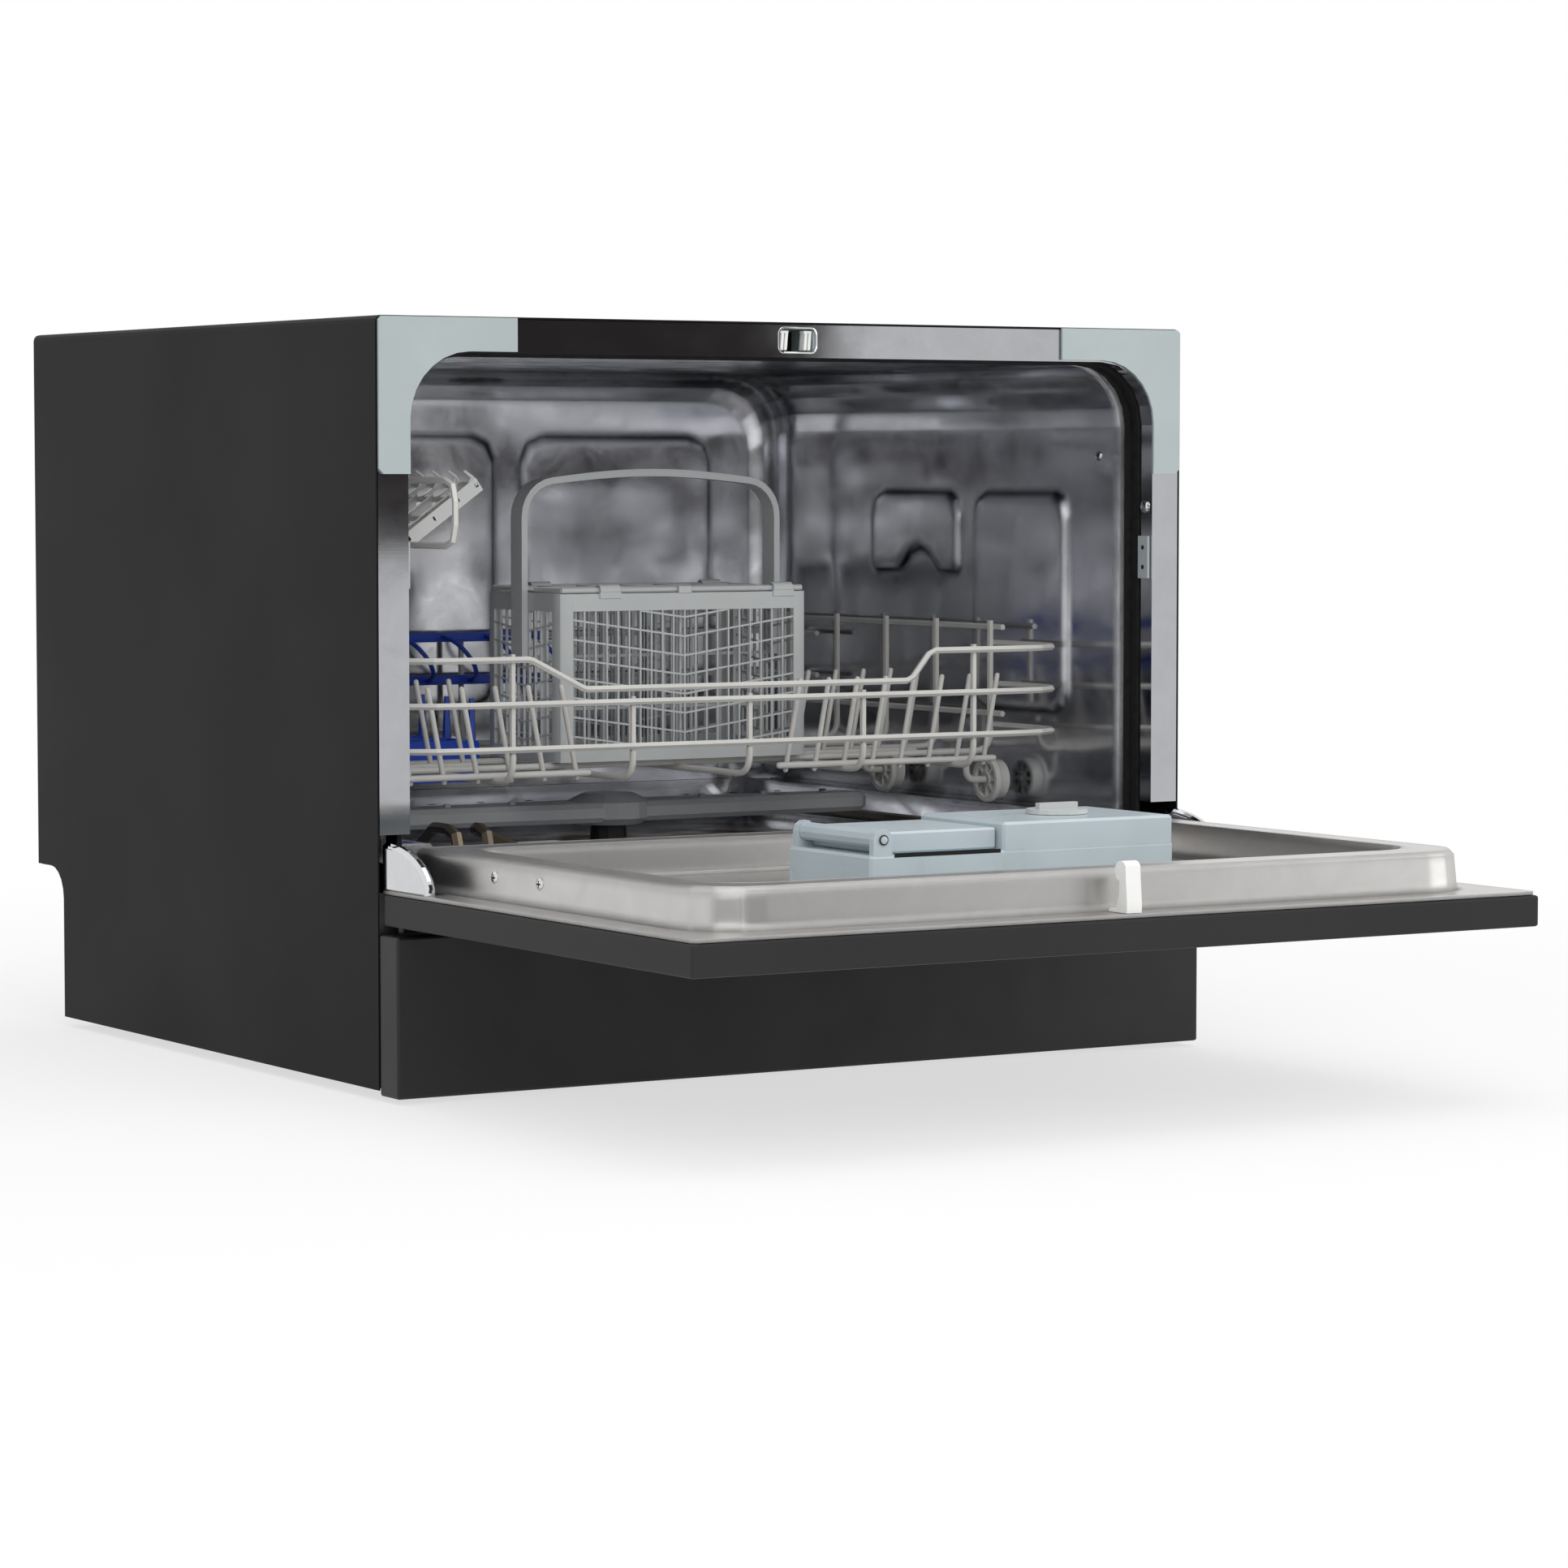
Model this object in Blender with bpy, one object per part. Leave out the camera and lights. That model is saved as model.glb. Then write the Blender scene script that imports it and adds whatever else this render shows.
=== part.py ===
"""Countertop dishwasher for six place settings, modelled piece by piece.

Run it with blender --background --python part.py, or from Blender's text editor.
Lengths are in metres. Every outline is drawn from the plane of the front frame (y = 0),
with x = 0 on the middle of the width and z = 0 on the worktop. The rig then moves the
whole appliance along y, so that the box around it, with its door open, is centred on y = 0.
The door lies open and the dish basket is pushed home.
"""
import math

import bmesh
import bpy
from mathutils import Matrix, Vector

# Cabinet
BODY_WIDTH = 0.550
BODY_HEIGHT = 0.438
CASING_DEPTH = 0.480
CASING_SHEET = 0.0010
CASING_BOTTOM = 0.006
CASING_TOP_RADIUS = 0.004
GAP = 0.0003
BASE_DEPTH = 0.4395
BASE_WALL = 0.0025
BASE_TOP = 0.100
PLINTH_TOP = 0.0935
PLINTH_BOTTOM = 0.003
FACE_PROUD = 0.0225
FOOT_RADIUS = 0.013
FOOT_INSET = (0.040, 0.055)

# Front frame and the mouth of the tub
OPENING_HALF = BODY_WIDTH / 2 - 0.0203
OPENING_TOP = BODY_HEIGHT - 0.0205
OPENING_RADIUS = 0.038
FRAME_LEG_BOTTOM = 0.149
FRAME_SHEET = 0.0010
FRAME_DEPTH = 0.013
COVER_THICK = 0.0017
COVER_REACH = 0.0875
COVER_DROP = 0.0875

# Tub
TUB_HALF = BODY_WIDTH / 2 - 0.025
TUB_FRONT = 0.0275
TUB_REAR = 0.439
TUB_TOP = BODY_HEIGHT - 0.0215
TUB_FLOOR = 0.119
TUB_SHEET = 0.0010
TRACK_Z = 0.141
TRACK_INNER = TUB_HALF - 0.022
TUB_FLANGE = 0.012

# Door, measured with the door lying open
DOOR_HALF = BODY_WIDTH / 2 - 0.0015
DOOR_UNDER = 0.0986
DOOR_EDGE = 0.0175
DOOR_WALL = 0.0020
DOOR_BACK = 0.004
DOOR_FOOT_SHUT = 0.099
DOOR_TOP_SHUT = BODY_HEIGHT - 0.0005
LINER_SHEET = 0.0009
LIP_RISE = 0.0019

# The hinge axis follows from where the door lies open and where it stands shut
HINGE_SUM = DOOR_FOOT_SHUT - DOOR_BACK
HINGE_DIFF = DOOR_UNDER + FACE_PROUD
HINGE_Z = (HINGE_SUM + HINGE_DIFF) / 2
HINGE_Y = (HINGE_SUM - HINGE_DIFF) / 2
DOOR_REACH = DOOR_TOP_SHUT - HINGE_SUM
DOOR_TOP = DOOR_UNDER + DOOR_EDGE
HINGE_NOSE = 0.0065
BRACKET_TOP = HINGE_Z + HINGE_NOSE + 0.006
LIP_Z = DOOR_TOP + GAP + LIP_RISE

# Dish basket
WIRE = 0.0020
TINE = 0.0016
WELD = 0.0010
BASKET_HALF = TUB_HALF - 0.015
BASKET_FRONT = 0.051
BASKET_REAR = TUB_REAR - 0.015
FLOOR_Z = 0.1715
CROSS_Z = FLOOR_Z + 2 * WIRE - WELD
RIB_FOOT = 0.187
FENCE_TOP = 0.243
SIDE_TOP = 0.253
WHEEL_RADIUS = 0.0147
WHEEL_WIDTH = 0.012
WHEEL_X = TUB_HALF - 0.014
WHEEL_Y = (0.146, 0.268)
WHEEL_Z = TRACK_Z + WHEEL_RADIUS + GAP
UPPER_X = TUB_HALF - 0.029
UPPER_FRONT = 0.008
UPPER_REAR = TUB_REAR - 0.0045
UPPER_LOW = 0.3095
UPPER_HIGH = 0.3465

# Cutlery basket, standing on the basket's floor wires
CUTLERY_HALF = 0.087
CUTLERY_FRONT = 0.130
CUTLERY_REAR = 0.222
CUTLERY_TOP = 0.278
CUTLERY_WALL = 0.0020

# Machinery
SUMP_XY = (0.095, 0.135)
HUB_XY = (0.0, 0.225)
SALT_XY = (-0.120, 0.110)
ARM_REACH = 0.188

# The whole appliance is moved by this much along y
SHIFT_Y = (DOOR_REACH - CASING_DEPTH) / 2

FINISHES = {
    "black_enamel": ("#2B2B2C", 0.45, 0.0),
    "black_plastic": ("#232324", 0.55, 0.0),
    "black_rubber": ("#141414", 0.80, 0.0),
    "polished_steel": ("#B9BABC", 0.22, 1.0),
    "zinc_steel": ("#9A9C9E", 0.40, 1.0),
    "cover_plastic": ("#AEB9BB", 0.50, 0.0),
    "rack_nylon": ("#CFCFCB", 0.45, 0.0),
    "pale_plastic": ("#C4C7C8", 0.50, 0.0),
    "white_plastic": ("#EDEDEB", 0.45, 0.0),
    "blue_plastic": ("#3450C0", 0.40, 0.0),
    "dispenser_plastic": ("#B4C6CE", 0.30, 0.0),
    "glass_black": ("#0E0F11", 0.15, 0.0),
    "button_grey": ("#8C8F92", 0.40, 0.0),
    "board_green": ("#2E6B45", 0.60, 0.0),
    "heater_steel": ("#5E5C58", 0.40, 1.0),
}


def clear_scene():
    for obj in list(bpy.data.objects):
        bpy.data.objects.remove(obj, do_unlink=True)


def linear(channel):
    """One sRGB channel from 0 to 1, as linear light."""
    return channel / 12.92 if channel <= 0.04045 else ((channel + 0.055) / 1.055) ** 2.4


def finish(slot):
    """The Principled material of one finish, made the first time it is asked for."""
    existing = bpy.data.materials.get(slot)
    if existing:
        return existing
    hex_colour, roughness, metallic = FINISHES[slot]
    channels = [linear(int(hex_colour[i:i + 2], 16) / 255) for i in (1, 3, 5)]
    material = bpy.data.materials.new(slot)
    material.use_nodes = True
    shader = material.node_tree.nodes["Principled BSDF"]
    shader.inputs["Base Color"].default_value = (*channels, 1.0)
    shader.inputs["Roughness"].default_value = roughness
    shader.inputs["Metallic"].default_value = metallic
    material.diffuse_color = (*channels, 1.0)
    return material


def add_object(name, bm, slot):
    """Turn a bmesh into a named object with outward faces and one material."""
    bmesh.ops.recalc_face_normals(bm, faces=bm.faces)
    mesh = bpy.data.meshes.new(name)
    bm.to_mesh(mesh)
    bm.free()
    obj = bpy.data.objects.new(name, mesh)
    bpy.context.scene.collection.objects.link(obj)
    if slot:
        mesh.materials.append(finish(slot))
    return obj


def bake(obj):
    """Replace the object's mesh by what its modifiers make of it."""
    bpy.context.view_layer.update()
    evaluated = obj.evaluated_get(bpy.context.evaluated_depsgraph_get())
    mesh = bpy.data.meshes.new_from_object(evaluated)
    obj.modifiers.clear()
    obj.data = mesh
    return obj


def boolean(obj, others, operation, with_self=False):
    """Join the other objects into one operand and add it to, or cut it from, the object."""
    operand = merge(others, "operand")
    modifier = obj.modifiers.new(operation, "BOOLEAN")
    modifier.operation = operation
    modifier.solver = "EXACT"
    modifier.use_self = with_self
    modifier.object = operand
    bake(obj)
    bpy.data.objects.remove(operand, do_unlink=True)
    return obj


def cut(obj, *cutters):
    return boolean(obj, list(cutters), "DIFFERENCE")


def fuse(obj, *others):
    return boolean(obj, list(others), "UNION", with_self=True)


def merge(objects, name):
    """Several meshes as one object, each still its own closed shell."""
    bm = bmesh.new()
    for obj in objects:
        copy = obj.data.copy()
        copy.transform(obj.matrix_basis)
        bm.from_mesh(copy)
        bpy.data.objects.remove(obj, do_unlink=True)
        bpy.data.meshes.remove(copy)
    mesh = bpy.data.meshes.new(name)
    bm.to_mesh(mesh)
    bm.free()
    merged = bpy.data.objects.new(name, mesh)
    bpy.context.scene.collection.objects.link(merged)
    merged.hide_render = True
    merged.display_type = "WIRE"
    return merged


def soften(obj, width, segments=2, angle=40):
    """Round the sharp edges of a solid."""
    modifier = obj.modifiers.new("soften", "BEVEL")
    modifier.width = width
    modifier.segments = segments
    modifier.limit_method = "ANGLE"
    modifier.angle_limit = math.radians(angle)
    return bake(obj)


def smooth(obj, angle=35):
    """Shade the round faces smooth and keep the real edges sharp."""
    obj.data.shade_smooth()
    obj.data.set_sharp_from_angle(angle=math.radians(angle))
    return obj


def thicken(obj, thickness):
    """Give a surface its sheet thickness, on the side its faces look away from."""
    modifier = obj.modifiers.new("sheet", "SOLIDIFY")
    modifier.thickness = thickness
    modifier.offset = -1.0
    modifier.use_even_offset = True
    modifier.use_quality_normals = True
    return bake(obj)


def block(name, low, high, slot=None):
    """A box between two opposite corners."""
    bm = bmesh.new()
    bmesh.ops.create_cube(bm, size=1.0)
    size = Vector(high) - Vector(low)
    middle = (Vector(high) + Vector(low)) / 2
    bmesh.ops.scale(bm, vec=size, verts=bm.verts)
    bmesh.ops.translate(bm, vec=middle, verts=bm.verts)
    return add_object(name, bm, slot)


def arc(centre, radius, start, end, steps=6):
    """Points of a circular arc in a plane, angles in degrees."""
    points = []
    for i in range(steps + 1):
        angle = math.radians(start + (end - start) * i / steps)
        points.append((centre[0] + radius * math.cos(angle), centre[1] + radius * math.sin(angle)))
    return points


def rounded_box(low, high, radius, steps=4):
    """Outline of a rectangle with four round corners, anticlockwise."""
    (x0, y0), (x1, y1) = low, high
    r = radius
    return (arc((x1 - r, y0 + r), r, -90, 0, steps) + arc((x1 - r, y1 - r), r, 0, 90, steps)
            + arc((x0 + r, y1 - r), r, 90, 180, steps) + arc((x0 + r, y0 + r), r, 180, 270, steps))


def prism(name, outline, axis, start, end, slot=None):
    """Extrude a closed outline along x, y or z. The outline holds the other two coordinates."""
    place = {"x": lambda a, b, t: (t, a, b), "y": lambda a, b, t: (a, t, b), "z": lambda a, b, t: (a, b, t)}[axis]
    bm = bmesh.new()
    near = [bm.verts.new(place(a, b, start)) for a, b in outline]
    far = [bm.verts.new(place(a, b, end)) for a, b in outline]
    bm.faces.new(near)
    bm.faces.new(far)
    for i in range(len(outline)):
        j = (i + 1) % len(outline)
        bm.faces.new((near[i], near[j], far[j], far[i]))
    return add_object(name, bm, slot)


def loft(name, rings, slot=None, cap_first=True, cap_last=True):
    """Skin closed rings that have equally many points."""
    bm = bmesh.new()
    loops = [[bm.verts.new(point) for point in ring] for ring in rings]
    for lower, upper in zip(loops, loops[1:]):
        for i in range(len(lower)):
            j = (i + 1) % len(lower)
            bm.faces.new((lower[i], lower[j], upper[j], upper[i]))
    if cap_first:
        bm.faces.new(loops[0])
    if cap_last:
        bm.faces.new(loops[-1])
    return add_object(name, bm, slot)


def turn(name, profile, centre, axis="z", steps=24, slot=None):
    """Turn a closed profile of (radius, height) points about an axis through a point."""
    bm = bmesh.new()
    rings = []
    for radius, height in profile:
        if radius == 0:
            rings.append([bm.verts.new((0, 0, height))])
            continue
        ring = []
        for i in range(steps):
            angle = 2 * math.pi * i / steps
            ring.append(bm.verts.new((radius * math.cos(angle), radius * math.sin(angle), height)))
        rings.append(ring)
    for k in range(len(rings)):
        lower, upper = rings[k], rings[(k + 1) % len(rings)]
        for i in range(steps):
            j = (i + 1) % steps
            if len(lower) == 1 and len(upper) == 1:
                break
            if len(lower) == 1:
                bm.faces.new((lower[0], upper[j], upper[i]))
            elif len(upper) == 1:
                bm.faces.new((lower[i], lower[j], upper[0]))
            else:
                bm.faces.new((lower[i], lower[j], upper[j], upper[i]))
    turned = {"z": Matrix.Identity(4), "x": Matrix.Rotation(math.pi / 2, 4, "Y"),
              "y": Matrix.Rotation(-math.pi / 2, 4, "X")}[axis]
    bmesh.ops.transform(bm, matrix=Matrix.Translation(centre) @ turned, verts=bm.verts)
    return add_object(name, bm, slot)


def disc_profile(radius, low, high):
    """Profile of a plain cylinder."""
    return [(0, low), (radius, low), (radius, high), (0, high)]


def bend(points, radius, steps=4):
    """Replace each inner corner of a path by an arc of the given radius."""
    path = [Vector(points[0])]
    for before, corner, after in zip(points, points[1:], points[2:]):
        corner = Vector(corner)
        towards = (Vector(before) - corner)
        away = (Vector(after) - corner)
        angle = towards.angle(away)
        reach = min(radius / math.tan(angle / 2), towards.length * 0.49, away.length * 0.49)
        start = corner + towards.normalized() * reach
        end = corner + away.normalized() * reach
        for i in range(steps + 1):
            t = i / steps
            path.append(start * (1 - t) ** 2 + corner * (2 * t * (1 - t)) + end * t ** 2)
    path.append(Vector(points[-1]))
    return path


def rod(name, path, radius, sides=5, closed=False, slot=None):
    """A round bar along a path, with flat ends or closed into a flat loop."""
    path = [Vector(p) for p in path]
    count = len(path)
    bm = bmesh.new()
    tangents = []
    for i in range(count):
        before = path[i - 1] if i or closed else path[i]
        after = path[(i + 1) % count] if i < count - 1 or closed else path[i]
        tangents.append((after - before).normalized())
    normal = tangents[0].orthogonal().normalized()
    if closed:
        normal = tangents[0].cross(tangents[count // 4]).normalized()
    rings = []
    for i in range(count):
        if i:
            normal = tangents[i - 1].rotation_difference(tangents[i]) @ normal
        side = tangents[i].cross(normal)
        ring = []
        for k in range(sides):
            angle = 2 * math.pi * (k + 0.5) / sides
            offset = normal * math.cos(angle) + side * math.sin(angle)
            ring.append(bm.verts.new(path[i] + offset * radius))
        rings.append(ring)
    pairs = list(zip(rings, rings[1:]))
    if closed:
        pairs.append((rings[-1], rings[0]))
    for lower, upper in pairs:
        for k in range(sides):
            j = (k + 1) % sides
            bm.faces.new((lower[k], lower[j], upper[j], upper[k]))
    if not closed:
        bm.faces.new(rings[0])
        bm.faces.new(rings[-1])
    return add_object(name, bm, slot)


def body(name, point):
    """An empty on the joint axis, at a point given in the frame's own coordinates."""
    empty = bpy.data.objects.new(name, None)
    empty.location = Vector(point) + Vector((0, SHIFT_Y, 0))
    empty.empty_display_size = 0.02
    bpy.context.scene.collection.objects.link(empty)
    empty["point"] = tuple(point)
    return empty


def seat(empty, *objects):
    """Parent pieces to a body's empty, with their origin on its axis."""
    point = Vector(empty["point"])
    for obj in objects:
        obj.data.transform(Matrix.Translation(-point))
        obj.parent = empty


def outer_casing():
    """Black wrap of one sheet: two sides and the top, cut away at the lower rear."""
    half, top = BODY_WIDTH / 2, BODY_HEIGHT
    outline = []
    for inset, radius, forwards in ((0, CASING_TOP_RADIUS, True), (CASING_SHEET, CASING_TOP_RADIUS - CASING_SHEET, False)):
        side = [(half - inset, CASING_BOTTOM)] + arc((half - inset - radius, top - inset - radius), radius, 0, 90, 3)
        side += [(-x, z) for x, z in reversed(side)]
        outline += side if forwards else list(reversed(side))
    casing = prism("outer_casing", outline, "y", 0, CASING_DEPTH, "black_enamel")
    notch_top = BASE_TOP + 0.001
    notch = [(BASE_DEPTH + 0.0005, -0.01), (CASING_DEPTH + 0.01, -0.01), (CASING_DEPTH + 0.01, notch_top)]
    notch += arc((BASE_DEPTH + 0.0205, notch_top - 0.020), 0.020, 90, 180, 5)
    return cut(casing, prism("notch", notch, "x", -half - 0.01, half + 0.01))


def rear_panel():
    """Zinc sheet that closes the back, folded forward under the overhang, with louvre slots."""
    half, sheet = BODY_WIDTH / 2 - CASING_SHEET - 0.0013, 0.0012
    low, high, back = BASE_TOP + GAP, BODY_HEIGHT - CASING_SHEET - 0.0013, CASING_DEPTH - 0.0005
    outline = [(BASE_DEPTH - 0.002, low), (back, low), (back, high), (back - sheet, high),
               (back - sheet, low + sheet), (BASE_DEPTH - 0.002, low + sheet)]
    panel = prism("rear_panel", outline, "x", -half, half, "zinc_steel")
    slots = []
    for side in (-1, 1):
        for row in range(4):
            x, z = side * 0.170, 0.300 + 0.014 * row
            slots.append(block("slot", (x - 0.040, back - 0.01, z), (x + 0.040, back + 0.01, z + 0.005)))
    return cut(panel, *slots)


def base_tray():
    """Moulded tray that carries the pumps, with ribs on its floor and holes in its rear wall."""
    half = BODY_WIDTH / 2 - CASING_SHEET - 0.0006
    front, back = TUB_FRONT + 0.0005, BASE_DEPTH
    tray = block("base_tray", (-half, front, CASING_BOTTOM), (half, back, BASE_TOP), "black_plastic")
    inside = block("inside", (-half + BASE_WALL, front + BASE_WALL, CASING_BOTTOM + BASE_WALL),
                   (half - BASE_WALL, back - BASE_WALL, BASE_TOP + 0.01))
    cut(tray, inside)
    ports = [port(INLET_XZ, 0.0142), port(DRAIN_XZ, 0.0122), port(GLAND_XZ, 0.0092)]
    return cut(tray, *ports)


INLET_XZ = (0.170, 0.052)
DRAIN_XZ = (-0.130, 0.045)
GLAND_XZ = (0.020, 0.040)


def port(centre, radius):
    """Cutter for a round hole through the tray's rear wall."""
    profile = disc_profile(radius, -0.02, 0.02)
    return turn("port", profile, (centre[0], BASE_DEPTH, centre[1]), "y", 16)


def plinth_panel():
    """Kick panel below the door, a hollow moulding with two wings inside the casing."""
    half = BODY_WIDTH / 2 - 0.0005
    panel = block("plinth_panel", (-half, -FACE_PROUD, PLINTH_BOTTOM), (half, -GAP, PLINTH_TOP), "black_plastic")
    soften(panel, 0.0015, 2)
    wall = BASE_WALL
    hollow = block("hollow", (-half + wall, -FACE_PROUD + wall, PLINTH_BOTTOM + wall), (half - wall, 0.01, PLINTH_TOP - wall))
    cut(panel, hollow)
    wings = []
    outer = BODY_WIDTH / 2 - CASING_SHEET - 0.0010
    for side in (-1, 1):
        inner = outer - 0.0030
        low = (min(side * inner, side * outer), -0.010, CASING_BOTTOM + 0.001)
        high = (max(side * inner, side * outer), TUB_FRONT + GAP - 0.0001, 0.080)
        wings.append(block("wing", low, high))
    return fuse(panel, *wings)


def feet():
    """Four rubber pads under the tray."""
    names = {(-1, 0): "foot_front_left", (1, 0): "foot_front_right", (-1, 1): "foot_rear_left", (1, 1): "foot_rear_right"}
    pads = []
    for (side, rear), name in names.items():
        x = side * (BODY_WIDTH / 2 - FOOT_INSET[0])
        y = BASE_DEPTH - 0.030 if rear else FOOT_INSET[1]
        top = CASING_BOTTOM - GAP
        profile = [(0, 0), (FOOT_RADIUS, 0), (FOOT_RADIUS, top - 0.0015), (FOOT_RADIUS - 0.002, top), (0, top)]
        pads.append(smooth(turn(name, profile, (x, y, 0), "z", 12, "black_rubber")))
    return pads


def arch_outline(half, top, bottom, radius, width, outer_radius):
    """An inverted U: an opening of the given size with a band of the given width round it."""
    inner = [(half, bottom)] + arc((half - radius, top - radius), radius, 0, 90, 5)
    inner += [(-x, z) for x, z in reversed(inner)]
    outer = [(half + width[0], bottom)]
    outer += arc((half + width[0] - outer_radius, top + width[1] - outer_radius), outer_radius, 0, 90, 5)
    outer += [(-x, z) for x, z in reversed(outer)]
    return outer + list(reversed(inner))


def front_frame():
    """Polished frame round the mouth, a channel of thin sheet with the latch window."""
    outer_half = BODY_WIDTH / 2 - CASING_SHEET - 0.0004
    outer_top = BODY_HEIGHT - CASING_SHEET - 0.0004
    band = (outer_half - OPENING_HALF, outer_top - OPENING_TOP)
    sheet = FRAME_SHEET
    outline = arch_outline(OPENING_HALF, OPENING_TOP, FRAME_LEG_BOTTOM, OPENING_RADIUS, band, 0.003)
    frame = prism("front_frame", outline, "y", 0, FRAME_DEPTH, "polished_steel")
    hollow = arch_outline(OPENING_HALF + sheet, OPENING_TOP + sheet, FRAME_LEG_BOTTOM + sheet, OPENING_RADIUS + sheet,
                          (band[0] - 2 * sheet, band[1] - 2 * sheet), 0.002)
    window = rounded_box((-LATCH_HALF, LATCH_LOW), (LATCH_HALF, LATCH_HIGH), 0.003, 3)
    cut(frame, prism("hollow", hollow, "y", sheet, FRAME_DEPTH + 0.01))
    return cut(frame, prism("window", window, "y", -0.01, sheet + 0.001))


LATCH_HALF = 0.0125
LATCH_LOW = OPENING_TOP + 0.0030
LATCH_HIGH = BODY_HEIGHT - 0.0035


def corner_cover(name, side):
    """Plastic cover on an upper corner of the frame, with the quarter-round inner edge."""
    outer, high = BODY_WIDTH / 2 - 0.0012, BODY_HEIGHT - 0.0005
    inner, r = OPENING_HALF - 0.0005, OPENING_RADIUS
    low = high - COVER_DROP
    end = outer - COVER_REACH
    outline = [(outer, low + 0.003), (outer, high - 0.002), (outer - 0.002, high), (end, high), (end, OPENING_TOP + 0.001)]
    outline += arc((inner - r, OPENING_TOP + 0.001 - r), r, 90, 0, 7)
    outline += [(inner, low), (outer - 0.003, low)]
    outline = [(side * x, z) for x, z in outline]
    return prism(name, outline, "y", -GAP - COVER_THICK, -GAP, "cover_plastic")


def tub_ring(y, inset):
    """One section of the tub across its width: floor, wheel ledges, walls and round top."""
    half, r = TUB_HALF, OPENING_RADIUS
    points = [(TRACK_INNER - 0.016, TUB_FLOOR), (TRACK_INNER - 0.010, TUB_FLOOR + 0.0025), (TRACK_INNER - 0.003, TRACK_Z - 0.003),
              (TRACK_INNER, TRACK_Z)]
    points += arc((half - 0.004, TRACK_Z + 0.004), 0.004, -90, 0, 2)
    points += [(half, TUB_TOP - r)] + arc((half - r, TUB_TOP - r), r, 0, 90, 5)[1:]
    points += [(-x, z) for x, z in reversed(points)]
    middle = (TUB_TOP + TUB_FLOOR) / 2
    tall = (TUB_TOP - TUB_FLOOR) / 2
    ring = []
    for x, z in points:
        ring.append(Vector((x * (1 - inset / half), y, middle + (z - middle) * (1 - inset / tall))))
    return ring


def panel_relief(name, axis, wall, outline, height):
    """A raised panel pressed into a tub wall, with sloping edges, given on the wall's plane."""
    middle = Vector((sum(p[0] for p in outline), sum(p[1] for p in outline))) / len(outline)
    rings = []
    for depth, shrink in ((-0.0005, 0.0), (0.0, 0.0), (height, 0.0040)):
        ring = []
        for a, b in outline:
            away = Vector((a, b)) - middle
            away = away * (1 - shrink / away.length)
            at = wall[0] + wall[1] * depth
            ring.append((at, middle.x + away.x, middle.y + away.y) if axis == "x" else (middle.x + away.x, at, middle.y + away.y))
        rings.append(ring)
    return loft(name, rings)


def drawn_tub():
    """The whole tub as drawn: open to the front, flanged, with pressed panels and a holed floor."""
    sections = [(TUB_FRONT, -TUB_FLANGE), (TUB_FRONT, 0), (TUB_REAR - 0.020, 0), (TUB_REAR - 0.012, 0.0025),
                (TUB_REAR - 0.004, 0.0085), (TUB_REAR, 0.018)]
    shell = loft("tub", [tub_ring(y, inset) for y, inset in sections], "polished_steel", cap_first=False)
    shell.data.flip_normals()
    inward_faces(shell)
    thicken(shell, TUB_SHEET)
    reliefs = []
    high = TUB_TOP - 0.0785
    for side in (-1, 1):
        wall = (side * TUB_HALF, -side)
        plain = rounded_box((0.082, 0.200), (0.187, high), 0.014, 2)
        arched = arc((0.295, high - 0.014), 0.014, 0, 90, 2) + arc((0.217, high - 0.014), 0.014, 90, 180, 2)
        arched += [(0.203, 0.291), (0.206, 0.287)] + arc((0.250, 0.270), 0.032, 148, 32, 4) + [(0.306, 0.287), (0.309, 0.291)]
        reliefs += [panel_relief("side_relief", "x", wall, plain, 0.0028), panel_relief("arched_relief", "x", wall, arched, 0.0028)]
    rear = (TUB_REAR, -1)
    for low_x, high_x in ((-0.200, 0.034), (0.054, 0.200)):
        outline = rounded_box((low_x, 0.196), (high_x, 0.375), 0.016, 2)
        reliefs.append(panel_relief("rear_relief", "y", rear, outline, 0.0028))
    fuse(shell, *reliefs)
    holes = [(SUMP_XY, 0.052), (HUB_XY, 0.0125), (SALT_XY, 0.0245)] + [(xy, 0.0039) for xy in HEATER_LEGS]
    cutters = [turn("hole", disc_profile(radius, TUB_FLOOR - 0.01, TUB_FLOOR + 0.01), (*xy, 0), "z", 20 if radius > 0.01 else 8)
               for xy, radius in holes]
    return cut(shell, *cutters)


def seam_block(clearance):
    """Space of the tub's lower part: the floor, its slopes and the flat ledges for the wheels."""
    half, top = TUB_HALF - 0.0046 + clearance, TRACK_Z + 0.0006 + clearance
    return block("seam", (-half, 0, 0), (half, CASING_DEPTH, top))


def tub():
    """Steel walls, roof and rear of the tub, down to the welded seam beside the ledges."""
    return smooth(cut(drawn_tub(), seam_block(GAP)))


def tub_floor():
    """Steel floor of the tub with the ledges for the basket's wheels."""
    floor = boolean(drawn_tub(), [seam_block(0)], "INTERSECT")
    floor.name = "tub_floor"
    return smooth(floor)


def inward_faces(obj):
    """Turn the faces of an open tub so that they look into it."""
    mesh = obj.data
    middle = sum((v.co for v in mesh.vertices), Vector()) / len(mesh.vertices)
    votes = sum(1 if (face.center - middle).dot(face.normal) > 0 else -1 for face in mesh.polygons)
    if votes > 0:
        mesh.flip_normals()


HEATER_LEGS = ((-0.200, 0.046), (-0.180, 0.046))


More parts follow.
